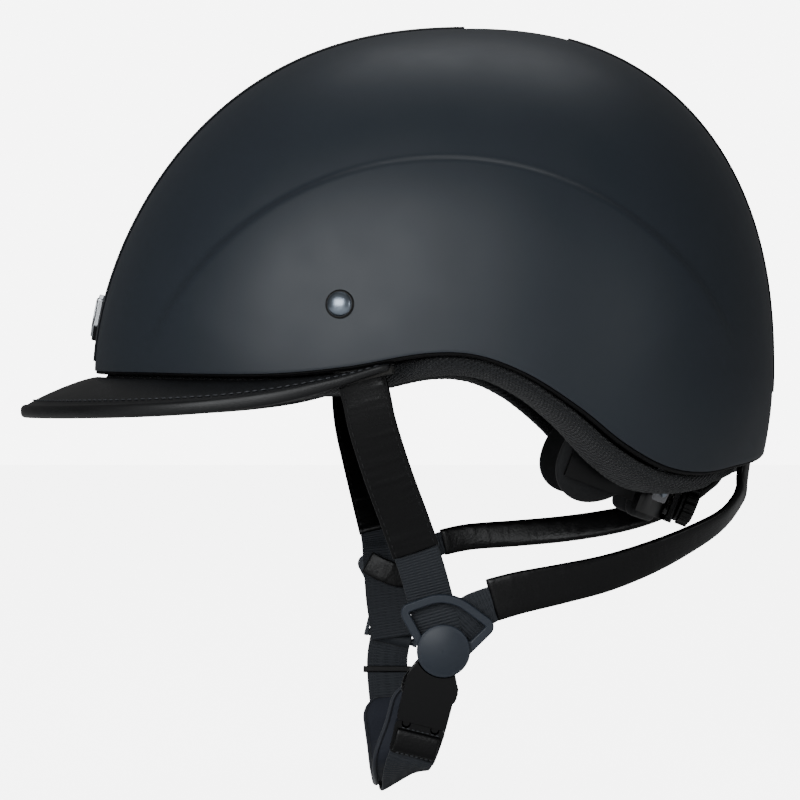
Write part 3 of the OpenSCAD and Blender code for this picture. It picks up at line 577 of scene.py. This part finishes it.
def binding_point(u, v):
    a, t = peak_azimuth(u), 2 * math.pi * v
    k = taper(u)
    middle = peak_at(a, 0.965, -PEAK_WALL / 2 * k)
    wrinkle = 0.06 * math.sin(u * 900) * math.cos(t)
    x = math.copysign(abs(math.cos(t)) ** 0.8, math.cos(t)) * (2.6 + wrinkle)
    z = math.copysign(abs(math.sin(t)) ** 0.7, math.sin(t)) * (PEAK_WALL / 2 + 0.45) * k
    return middle + (edge_frame(a) * x + Vector((0, 0, z))) * peak_end(u)


binding = patch("peak_binding_look", 320, 20, binding_point, peak_leather, size=(0.46, 0.015))
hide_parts("peak_edge_binding")


def stitches(name, line, paint, body="helmet", pitch=3.2, length=2.5, girth=0.55):
    """A row of thread stitches along a line of (place, way out), in millimetres."""
    bm = bmesh.new()
    walked, last = 0.0, line[0][0]
    for here, out in line[1:]:
        step = (here - last).length
        if walked + step >= pitch:
            along = (here - last).normalized()
            lean = random.uniform(-0.06, 0.06)
            across = out.cross(along).normalized()
            along = (along + across * lean).normalized()
            across = out.cross(along).normalized()
            up = along.cross(across)
            turn = Matrix((along * length / 2, across * girth / 2, up * girth / 2)).transposed().to_4x4()
            place = Matrix.Translation(here * MM) @ Matrix.Scale(MM, 4) @ turn
            bmesh.ops.create_uvsphere(bm, u_segments=7, v_segments=5, radius=1, matrix=place)
            walked = 0.0
        else:
            walked += step
        last = here
    return finish_piece(bm, name, paint, body, 180)


peak_line = [(peak_at(peak_azimuth(i / 2400), 0.86, 0.62 * taper(i / 2400)), Vector((0, 0, 1)))
             for i in range(30, 2371)]
stitches("peak_stitches", peak_line, thread, pitch=3.0, length=2.4, girth=0.6)
under_line = [(peak_at(peak_azimuth(i / 2400), 0.86, -(PEAK_WALL + 0.15) * taper(i / 2400)),
               Vector((0, 0, -1))) for i in range(30, 2371)]
stitches("peak_stitches_under", under_line, thread, pitch=3.0, length=2.4, girth=0.5)

# ---- liner and pads ----


def liner_point(u, v):
    a = 360 * u
    if v < 0.5:
        z = row_height(a, 1 - 2 * v, WALL + 0.5, 1)
        return dome(a, z, WALL + 0.5 + channel(a, z))
    return dome(a, row_height(a, 2 * v - 1, LINER, 1), LINER)


liner = patch("foam_liner_look", 180, 80, liner_point, bead_foam, close=False)
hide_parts("impact_liner")


def squircle(t, power):
    c, s = math.cos(t), math.sin(t)
    return math.copysign(abs(c) ** power, c), math.copysign(abs(s) ** power, s)


def roll_point(u, v):
    a = 360 * u
    x, y = squircle(2 * math.pi * v, 0.72)
    z0 = rim(a)
    outer = 3.7 + channel(a, z0)
    pucker = (0.22 * math.sin(a * 2.1) * math.sin(a * 5.3 + 1)
              + 0.12 * noise.noise(Vector((a * 0.3, y * 2, x))))
    low = 8.7 + pucker
    z = z0 - 4.4 + (low - 4.4 if y < 0 else 4.2) * y
    d = mix(outer, LINER, 0.5) - (LINER - outer) / 2 * x
    belly = 1.6 * (1 - y) / 2 * (1 if x > 0 else 0) * abs(x)
    return dome(a, z, d + belly - 0.5 * pucker * x)


roll = patch("rim_roll", 420, 36, roll_point, roll_mesh, close=False, size=(0.74, 0.056))
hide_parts("rim_cushion")


def headband_point(u, v):
    a = mix(72, 288, u)
    x, y = squircle(2 * math.pi * v, 0.6)
    end = math.sqrt(clamp01(1 - (1 - clamp01(min(u, 1 - u) / 0.035)) ** 2))
    quilt = 1 - 0.34 * math.exp(-((a - 72) % 27 - 13.5) ** 2 / 2.2)
    low, high = rim(a) + 2, 40
    z = mix(low, high, 0.5) + (high - low) / 2 * y * mix(0.7, 1, end)
    d = LINER + 0.6 + 6.4 * (x + 1) / 2 * mix(0.15, 1, end) * (quilt if x > 0 else 1)
    return dome(a, z, d)


headband = patch("headband_pad_look", 260, 40, headband_point, pad_cloth)
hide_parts("headband_pad")


def crown_pad_point(u, v):
    a = 360 * u
    if v < 0.42:
        return dome(a, row_height(a, mix(1, 0.74, v / 0.42), LINER + 0.4), LINER + 0.4)
    s = (v - 0.42) / 0.58
    t = mix(0.74, 1, s)
    edge = math.sin(math.pi / 2 * clamp01((t - 0.74) / 0.07)) ** 0.6
    quilt = 1 - 0.4 * math.exp(-((a % 60 - 30) / 3.2) ** 2) * clamp01((1 - t) / 0.06)
    deep = LINER + 0.4 + 5.6 * edge * quilt
    return dome(a, row_height(a, t, deep), deep)


crown_cushion = patch("crown_pad_look", 240, 70, crown_pad_point, pad_cloth, close=False)
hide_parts("crown_pad")

# ---- straps ----


def v6(p, w):
    return tuple(p) + tuple(w)


def on_dome(side, a, z, d, way=1):
    return v6(flip(side, dome(a, z, d)), way * flip(side, dome_tangent(a, z, d)))


class Line:
    """A smooth route that can be read at any length along it."""

    def __init__(self, points):
        rows = []
        n = len(points)

        def knot(i):
            return points[min(n - 1, max(0, i))]
        for i in range(n - 1):
            a, b, c, d = knot(i - 1), knot(i), knot(i + 1), knot(i + 2)
            for k in range(40):
                t = k / 40
                rows.append([0.5 * (2 * b[j] + (c[j] - a[j]) * t
                                    + (2 * a[j] - 5 * b[j] + 4 * c[j] - d[j]) * t * t
                                    + (3 * b[j] - 3 * c[j] + d[j] - a[j]) * t ** 3) for j in range(6)])
        rows.append(list(points[-1]))
        self.places = [Vector(r[:3]) for r in rows]
        self.widths = [Vector(r[3:]) for r in rows]
        self.walk = [0.0]
        for p, q in zip(self.places, self.places[1:]):
            self.walk.append(self.walk[-1] + (q - p).length)
        self.length = self.walk[-1]

    def at(self, share):
        """(place, along, out, side) at a share of the length."""
        want = clamp01(share) * self.length
        lo, hi = 0, len(self.walk) - 1
        while hi - lo > 1:
            m = (lo + hi) // 2
            if self.walk[m] <= want:
                lo = m
            else:
                hi = m
        t = (want - self.walk[lo]) / max(1e-9, self.walk[hi] - self.walk[lo])
        place = self.places[lo].lerp(self.places[hi], t)
        a, b = max(0, lo - 6), min(len(self.places) - 1, hi + 6)
        along = (self.places[b] - self.places[a]).normalized()
        out = along.cross(self.widths[lo].lerp(self.widths[hi], t)).normalized()
        return place, along, out, out.cross(along)


RIB_PITCH = 1.2


def band(name, line, width, wall, paint, body="helmet", rows=120, around=20, power=0.35, ribs=0.0,
         wrinkles=0.0, width_end=None, crown=0.0):
    """A flat strap with rounded sides along a line. ribs and wrinkles are heights in millimetres."""
    far = line.length

    def place(u, v):
        p, _, out, side = line.at(u)
        x, y = squircle(2 * math.pi * v, power)
        w = width if width_end is None else mix(width, width_end, u)
        s = u * far
        close = min(s, far - s)
        end = math.sqrt(clamp01(1 - (1 - clamp01(close / (wall * 0.6))) ** 2))
        half = wall / 2 * mix(0.25, 1, end)
        lift = ribs * (0.5 + 0.5 * math.sin(2 * math.pi * s / RIB_PITCH)) * (1 if abs(y) > 0.3 else 0.3)
        if wrinkles:
            grainy = noise.noise(Vector((s * 0.42, x * 1.1, y * 0.6 + len(name))))
            sharp = noise.noise(Vector((s * 0.95 + 9, x * 0.7, y)))
            lift += wrinkles * (max(0, grainy) * 1.3 + 0.5 * max(0, sharp)) * (0.35 + 0.65 * abs(y))
        hump = crown * (1 - x * x) * (1 if y > 0 else -0.3) * abs(y)
        return p + side * (w / 2 - 0.15 + 0.15 * end) * x + out * ((half + lift) * y + hump)
    return patch(name, rows, around, place, paint, body=body, size=(far * MM, 2 * width * MM))


STRAP_D = WALL + 2.9
left_front = Line([
    on_dome(-1, 116, 31, STRAP_D), on_dome(-1, 116, 22, STRAP_D), on_dome(-1, 114.6, 6, STRAP_D),
    on_dome(-1, 112.4, -9, STRAP_D + 0.5),
    (-24.6, -98, -22, 0.97, -0.15, 0.15), (-19, -91, -40, 0.97, -0.1, 0.2),
    (-13.2, -84, -56, 0.98, -0.05, 0.2), (-8.2, -78.6, -70, 0.98, 0, 0.2)])
left_front_web = Line([
    (-8.6, -79.2, -68.5, 0.98, 0, 0.2), (-5.6, -75, -78, 0.98, -0.01, 0.17),
    (-3.4, -72, -86, 0.985, -0.02, 0.17), (-1.8, -71.6, -92, 0.985, -0.03, 0.17),
    (0.2, -71.1, -99, 0.985, -0.03, 0.17), (0.9, -71, -102.4, 0.985, -0.03, 0.17)])
right_front = Line([
    on_dome(1, 116, 31, STRAP_D), on_dome(1, 116, 22, STRAP_D), on_dome(1, 116, 6, STRAP_D),
    on_dome(1, 116.5, -9, STRAP_D + 0.5),
    (-34, 94, -23, 0.97, 0.15, 0.1), (-30.3, 87, -39, 0.97, 0.1, 0.15),
    (-26.3, 79, -55, 0.98, 0.05, 0.15), (-22.9, 72.6, -68.5, 0.98, 0, 0.15)])
right_front_web = Line([
    (-23.2, 73.2, -67, 0.98, 0, 0.15), (-22.3, 70.7, -72.2, 0.98, 0, 0.14),
    (-21.9, 67.3, -76.5, 0.98, 0, 0.1), (-21.4, 65, -83, 0.99, 0, 0.02),
    (-20.9, 63, -90, 0.99, 0, -0.08), (-20.2, 61.9, -98, 0.98, 0, -0.16),
    (-19.2, 61.7, -105, 0.98, 0, -0.22), (-17.8, 62.2, -114.4, 0.97, 0, -0.24)])
left_rear = Line([
    on_dome(-1, 18, -8, STRAP_D + 0.2, -1), on_dome(-1, 18, -25, STRAP_D + 0.2, -1),
    (121.8, -36.8, -41.5, -0.3, -0.95, 0.1), (119.8, -41.5, -50, -0.2, -0.9, 0.3),
    (112.4, -47.5, -58.8, 0, -0.75, 0.6), (100, -53, -66, 0.15, -0.55, 0.8),
    (84, -59, -73, 0.1, -0.4, 0.9), (66, -64, -79, 0, -0.3, 0.95),
    (48, -67.5, -83, 0, -0.2, 0.97), (32, -70, -86.2, -0.1, -0.1, 0.98),
    (20.8, -70.8, -89.2, -0.2, -0.07, 0.98)])
left_rear_web = Line([
    (23, -70.7, -89.8, -0.2, -0.07, 0.98), (14.8, -71.5, -93.6, -0.4, -0.08, 0.92),
    (11, -71.2, -97, -0.5, -0.1, 0.86), (7.2, -70.1, -101, -0.55, 0, 0.82)])
right_rear = Line([
    on_dome(1, 18, -8, STRAP_D + 0.2, -1), on_dome(1, 18, -25, STRAP_D + 0.2, -1),
    (120.5, 36.5, -40, -0.3, 0.95, 0.1), (115.5, 42, -47, -0.15, 0.9, 0.35),
    (107, 49, -53.5, 0.05, 0.75, 0.6), (94, 55, -59.5, 0.1, 0.55, 0.8),
    (78, 61, -64, 0.05, 0.4, 0.9), (58, 65.5, -67.4, 0, 0.3, 0.95),
    (36, 68, -69.6, 0, 0.2, 0.97), (16, 69, -71.2, 0, 0.1, 0.98), (4, 69, -73.6, -0.1, 0, 0.98)])
right_rear_web = Line([
    (6.5, 69, -73, -0.1, 0, 0.98), (1.2, 68.4, -75, -0.2, 0, 0.96), (-1.2, 67.6, -78.2, -0.45, 0, 0.88),
    (-3.6, 67.2, -83.6, -0.7, 0, 0.6), (-5, 66.9, -87, -0.85, 0, 0.3)])

SLEEVE, WEB = 18.5, 17.6
for name, line, node in (("front_sleeve_left", left_front, "front_strap_left"),
                         ("front_sleeve_right", right_front, "front_strap_right")):
    made = band(name, line, SLEEVE, 2.7, leather, rows=220, around=44, power=0.3,
                wrinkles=0.22, crown=0.7)
    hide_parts(node)
for name, line, node in (("front_web_left", left_front_web, "front_webbing_left"),
                         ("front_web_right", right_front_web, "front_webbing_right")):
    made = band(name, line, WEB, 1.4, webbing, rows=160, around=20, ribs=0.1)
    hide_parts(node)
for name, line, node, start, end in (("rear_sleeve_left", left_rear, "rear_strap_left", 11, 17),
                                     ("rear_sleeve_right", right_rear, "rear_strap_right", 11.5, 11.5)):
    made = band(name, line, start, 3.6, leather, rows=260, around=36, power=0.6,
                wrinkles=0.16, width_end=end)
    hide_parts(node)
for name, line, node, start, end in (("rear_web_left", left_rear_web, "rear_webbing_left", 13.5, 17.5),
                                     ("rear_web_right", right_rear_web, "rear_webbing_right", 10, 10)):
    made = band(name, line, start, 1.4, webbing, rows=100, around=20, ribs=0.1, width_end=end)
    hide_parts(node)
# The far rear strap's tail, turned round the front webbing on its inner side
right_tail = Line([
    (-2.4, 66, -81, -0.6, 0, 0.75), (-7, 62.4, -86, -0.45, 0, 0.88), (-14, 60.6, -87.6, -0.15, 0, 0.98),
    (-22, 60.8, -85, 0.15, 0, 0.98), (-28.4, 62.6, -81.6, 0.3, 0, 0.95)])
band("rear_tail_right", right_tail, 10, 1.6, leather, around=24, power=0.5, wrinkles=0.16)


SEAM_START = 0.3
SEAM_PITCH = 3.2


def strap_seam(name, line, offset, face):
    """Stitches along a sleeve, a given distance from its middle, on its outer or inner face."""
    points = []
    for i in range(1201):
        p, _, out, side = line.at(mix(SEAM_START, 1.0, i / 1200))
        points.append((p + side * offset + out * face, out * (1 if face > 0 else -1)))
    return stitches(name, points, dark_thread, pitch=SEAM_PITCH, length=SEAM_PITCH * 0.75,
                    girth=0.5)


for side_name, line in (("left", left_front), ("right", right_front)):
    for k, offset in (("a", -SLEEVE / 2 + 1.5), ("b", SLEEVE / 2 - 1.5)):
        strap_seam("sleeve_seam_" + side_name + "_" + k, line, offset, 1.5)
        strap_seam("sleeve_seam_back_" + side_name + "_" + k, line, offset, -1.42)

# ---- chin strap and its pad ----

LEAN, TILT = math.radians(14), math.radians(4)
DOWN = Vector((-math.cos(TILT) * math.sin(LEAN), math.sin(TILT), -math.cos(TILT) * math.cos(LEAN)))
INWARD = Vector((math.sin(TILT) * math.sin(LEAN), math.cos(TILT), math.sin(TILT) * math.cos(LEAN)))
ACROSS = Vector((math.cos(LEAN), 0, -math.sin(LEAN)))
LEFT_DIVIDER = Vector((2.4, -72, -108))
SWING = LEFT_DIVIDER + DOWN * 21 + INWARD * 138 - ACROSS * 18.5

chin_line = Line([
    v6(LEFT_DIVIDER + DOWN * 43 + Vector((-1.7, 1.4, 0.3)), ACROSS), (-11.2, -65, -153.2, 0.95, 0, -0.1),
    (-12.8, -56.6, -157.8, 0.93, 0, 0.25), (-13.8, -41, -161.4, 0.82, 0, 0.48),
    (-14.8, -19, -164.8, 0.85, 0, 0.46),
    (-15.2, 4, -166.6, 0.88, 0, 0.42), (-16, 26, -164.6, 0.93, 0, 0.33), (-16.8, 44, -159, 0.95, 0, 0.22),
    (-17.4, 56, -151, 0.97, 0, 0.08), (-18.8, 62.4, -140.6, 0.99, 0, -0.05),
    (-19.8, 65.6, -130, 0.98, 0, -0.14), (-19.8, 67, -123, 0.975, 0, -0.2), v6(SWING - Vector((math.sin(LEAN), 0, math.cos(LEAN))) * 2.6, ACROSS)])
chin_web = band("chin_web", chin_line, WEB, 1.4, webbing, body="chin_strap", rows=1100,
                around=18, ribs=0.1)
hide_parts("chin_webbing")
pad_line = Line([
    v6(LEFT_DIVIDER + DOWN * 17 + Vector((-2.9, 10.8, 0.7)), ACROSS),
    v6(LEFT_DIVIDER + DOWN * 34 + Vector((-2.9, 11.4, 0.7)), ACROSS),
    (-12.6, -58, -150.8, 0.95, 0, -0.1), (-13.6, -50.6, -155, 0.93, 0, 0.25),
    (-14.2, -37.5, -157.8, 0.82, 0, 0.48),
    (-14.8, -18, -161, 0.85, 0, 0.46), (-15.2, 4, -162.8, 0.88, 0, 0.42), (-16, 24.6, -161, 0.93, 0, 0.33),
    (-16.8, 41, -156, 0.95, 0, 0.22), (-18, 52, -149, 0.97, 0, 0.08), (-19.4, 58, -139.6, 0.99, 0, -0.05)])
PAD_W = 22


def pad_end(s, far):
    return math.sqrt(clamp01(1 - (1 - clamp01(min(s, far - s) / 9)) ** 2))


def pad_half(u):
    """Half of the pad's width: rounded at both ends."""
    return PAD_W / 2 * mix(0.35, 1, pad_end(u * pad_line.length, pad_line.length))


def chin_pad_point(u, v):
    p, _, out, side = pad_line.at(u)
    x, y = squircle(2 * math.pi * v, 0.55)
    s = u * pad_line.length
    quilt = 1 - 0.3 * math.exp(-((s % 24 - 12) / 1.4) ** 2)
    puff = (0.7 + 2.3 * (1 - abs(x) ** 3) * quilt * pad_end(s, pad_line.length)) * (0.9 if y > 0 else 0.62)
    soft = 0.25 * noise.noise(Vector((s * 0.12, x * 2, y)))
    return p + side * pad_half(u) * x + out * (puff + soft) * (y if y < 0 else y * 0.62)


chin_cushion = patch("chin_pad_look", 300, 36, chin_pad_point, chin_cloth, body="chin_strap",
                     size=(0.26, 0.05))
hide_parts("chin_pad")


def edge_tape_point(u, v):
    """Bias tape that goes once round the pad's outline."""
    w = (u * 2) % 2
    sign = 1 if w < 1 else -1
    share = w if w < 1 else 2 - w
    p, _, out, side = pad_line.at(share)
    t = 2 * math.pi * v
    return p + side * sign * (pad_half(share) + 0.9 * math.cos(t)) + out * 1.25 * math.sin(t)


patch("chin_pad_tape", 640, 12, edge_tape_point, tape_cloth, body="chin_strap",
      close=False)

# ---- hardware ----

BUCKLE = LEFT_DIVIDER + ACROSS * -1.3


def buckle_point(x, y, z):
    """x to the back, y up along the strap, z outward, from the divider's pin."""
    return BUCKLE + ACROSS * x - DOWN * y - INWARD * z


def plug_wrap_point(u, v):
    """The webbing's turn over the plug's bars: a full, smooth band."""
    x, h = squircle(2 * math.pi * v, 0.62)
    share = mix(-1, 1, u)
    end = math.sqrt(clamp01(1 - (1 - clamp01(min(u, 1 - u) / 0.05)) ** 2))
    return buckle_point(8.6 * share + 0.05 * math.sin(40 * u), -38.2 - 4.6 * x, 0.6 + 1.9 * h * mix(0.4, 1, end))


patch("plug_wrap", 40, 28, plug_wrap_point, leather, body="chin_strap")
for k, y in (("a", -33.2), ("b", -43.1)):
    row = [(buckle_point(mix(-8.2, 8.2, i / 300), y, 1.0), -INWARD) for i in range(301)]
    stitches("plug_wrap_stitches_" + k, row, thread, body="chin_strap", pitch=1.9, length=1.5,
             girth=0.5)

for node, paint, body, slot, bevel in (
        ("strap_divider_left", divider_plastic, "helmet", "divider_plastic", 0.9),
        ("strap_divider_right", divider_plastic, "helmet", "divider_plastic", 0.9),
        ("divider_cap_left", divider_plastic, "helmet", "divider_plastic", 0.5),
        ("divider_cap_right", divider_plastic, "helmet", "divider_plastic", 0.5),
        ("divider_bar_right", divider_plastic, "helmet", "divider_plastic", 0.35),
        ("buckle_socket", buckle_plastic, "helmet", "buckle_plastic", 0.6),
        ("buckle_plug", buckle_plastic, "chin_strap", "buckle_plastic", 0.6),
        ("prong_front", buckle_plastic, "prong_front", "buckle_plastic", 0.4),
        ("prong_rear", buckle_plastic, "prong_rear", "buckle_plastic", 0.4),
        ("strap_keeper", keeper_rubber, "chin_strap", "band_rubber", 0.4),
        ("chin_webbing_loop", webbing, "chin_strap", "webbing", 0.2),
        ("cradle_hanger_left", smoked_clear, "helmet", "clear_grey", 0.25),
        ("cradle_hanger_right", smoked_clear, "helmet", "clear_grey", 0.25),
        ("hanger_pins", rivet_steel, "helmet", "rivet_steel", 0.2),
        ("cradle_frame", adjuster_plastic, "helmet", "adjuster_plastic", 0.4),
        ("adjuster_housing", adjuster_plastic, "helmet", "adjuster_plastic", 0.6),
        ("adjuster_cover", adjuster_plastic, "helmet", "adjuster_plastic", 0.4),
        ("adjuster_dial", adjuster_plastic, "dial", "adjuster_plastic", 0.4),
        ("adjuster_pinion", pinion_plastic, "dial", "pinion_plastic", 0.12),
        ("adjuster_band_left", adjuster_plastic, "band_left", "adjuster_plastic", 0.25),
        ("adjuster_band_right", adjuster_plastic, "band_right", "adjuster_plastic", 0.25)):
    derive(node, paint, body, bevel=bevel)


def prong_pad(name, side, body):
    """The thumb pad of a side release arm: a full, ridged lozenge."""
    bm = bmesh.new()
    bmesh.ops.create_uvsphere(bm, u_segments=32, v_segments=24, radius=1)
    for v in bm.verts:
        x, y, z = v.co
        ridge = 1 + 0.05 * math.sin(z * 16)
        v.co = buckle_point(side * (9.2 + 1.9 * x * ridge), -16.6 + 4.4 * z, -2.95 + 2.1 * y * ridge) * MM
    return finish_piece(bm, name, buckle_plastic, body, 180)


prong_pad("prong_pad_front", -1, "prong_front")
prong_pad("prong_pad_rear", 1, "prong_rear")

# ---- nape pads ----

CRADLE = Matrix.Translation(Vector((28, 0, -24.2))) @ Matrix.Rotation(math.radians(21), 4, "Y")
CRADLE_R = 73


def cradle_point(turn, r, z):
    t = math.radians(turn)
    return CRADLE @ Vector((r * math.cos(t), r * math.sin(t), z))


def nape_point(u, v):
    turn = mix(-35, 35, u)
    x, y = squircle(2 * math.pi * v, 0.6)
    end = math.sqrt(clamp01(1 - (1 - clamp01(min(u, 1 - u) / 0.07)) ** 2))
    quilt = 1 - 0.3 * math.exp(-((turn + 35) % 23.3 - 11.7) ** 2 / 1.2)
    return cradle_point(turn, CRADLE_R - 5.3 + (3.1 * x if x > 0 else 3.3 * x * quilt) * mix(0.3, 1, end),
                        13.6 * y * mix(0.72, 1, end))


nape = patch("nape_pad_look", 160, 32, nape_point, pad_cloth)
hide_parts("nape_pad")


def wing_pillow(name, side, body, node):
    """A lobe of padded cloth on the end of an adjuster band."""
    bm = bmesh.new()
    bmesh.ops.create_uvsphere(bm, u_segments=64, v_segments=32, radius=1)
    for v in bm.verts:
        x, y, z = v.co
        flat = math.hypot(x, y)
        turn = math.atan2(y, x)
        full = flat ** 0.62 if flat > 0 else 0
        lobe = full * (1 - 0.06 * math.cos(3 * turn))
        s, up = lobe * math.cos(turn), lobe * math.sin(turn)
        thick = math.copysign(abs(z) ** 0.8, z)
        dimple = 1 - 0.2 * math.exp(-(flat * 3) ** 2)
        v.co = cradle_point(side * (59 + 14.5 * s), CRADLE_R - 2.9 - 3.3 * thick * dimple, 15.4 * up) * MM
    made = finish_piece(bm, name, pad_cloth, body, 180)
    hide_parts(node)
    return made


wing_pillow("wing_lobe_left", -1, "band_left", "wing_pad_left")
wing_pillow("wing_lobe_right", 1, "band_right", "wing_pad_right")

# ---- stage ----

floor_paint, tree, shader = surface("studio_floor", "#f4f4f4", 0.9)
grain(tree, shader, 0.01, 0.000001)
watched = add(tree, "ShaderNodeLightPath")
paler = add(tree, "ShaderNodeMapRange",
            {"Value": watched.outputs["Is Camera Ray"], "To Min": 0.0, "To Max": 6.0})
shader.inputs["Emission Color"].default_value = (1, 1, 1, 1)
tree.links.new(paler.outputs["Result"], shader.inputs["Emission Strength"])
bm = bmesh.new()
bmesh.ops.create_grid(bm, x_segments=1, y_segments=1, size=6)
bmesh.ops.translate(bm, verts=bm.verts, vec=(0, 0, cad_box[0].z - 0.0005))
mesh = bpy.data.meshes.new("studio_floor")
bm.to_mesh(mesh)
bm.free()
mesh.materials.append(floor_paint)
floor = bpy.data.objects.new("studio_floor", mesh)
bpy.context.scene.collection.objects.link(floor)

world = bpy.data.worlds.new("studio")
bpy.context.scene.world = world
world.use_nodes = True
sky = world.node_tree
sky.nodes["Background"].inputs["Color"].default_value = (1, 1, 1, 1)
seen = add(sky, "ShaderNodeLightPath")
level = add(sky, "ShaderNodeMapRange",
            {"Value": seen.outputs["Is Camera Ray"], "To Min": 0.13, "To Max": 7.0})
sky.links.new(level.outputs["Result"], sky.nodes["Background"].inputs["Strength"])


def softbox(name, where, target, size, energy):
    data = bpy.data.lights.new(name, "AREA")
    data.shape = "RECTANGLE"
    data.size, data.size_y = size
    data.energy = energy
    data.color = (0.96, 0.98, 1.0)
    lamp = bpy.data.objects.new(name, data)
    bpy.context.scene.collection.objects.link(lamp)
    lamp.location = where
    lamp.rotation_mode = "QUATERNION"
    lamp.rotation_quaternion = (Vector(target) - Vector(where)).to_track_quat("-Z", "Y")
    return lamp


softbox("key", (-0.62, -1.42, 0.5), (-0.02, 0, 0.04), (1.3, 0.9), 17)
softbox("fill", (1.2, -1.3, 0.3), (0, 0, 0), (0.6, 0.6), 2)
softbox("top", (0.1, 0.5, 1.6), (0, 0, 0), (1.2, 0.8), 5)

camera_data = bpy.data.cameras.new("camera")
camera = bpy.data.objects.new("camera", camera_data)
bpy.context.scene.collection.objects.link(camera)
camera.location = (-0.01435, -1.2, -0.01189)
camera.rotation_euler = (math.radians(90), 0, 0)
camera_data.sensor_width = 36
camera_data.lens = 36 * 1.2 / 0.328
bpy.context.scene.camera = camera
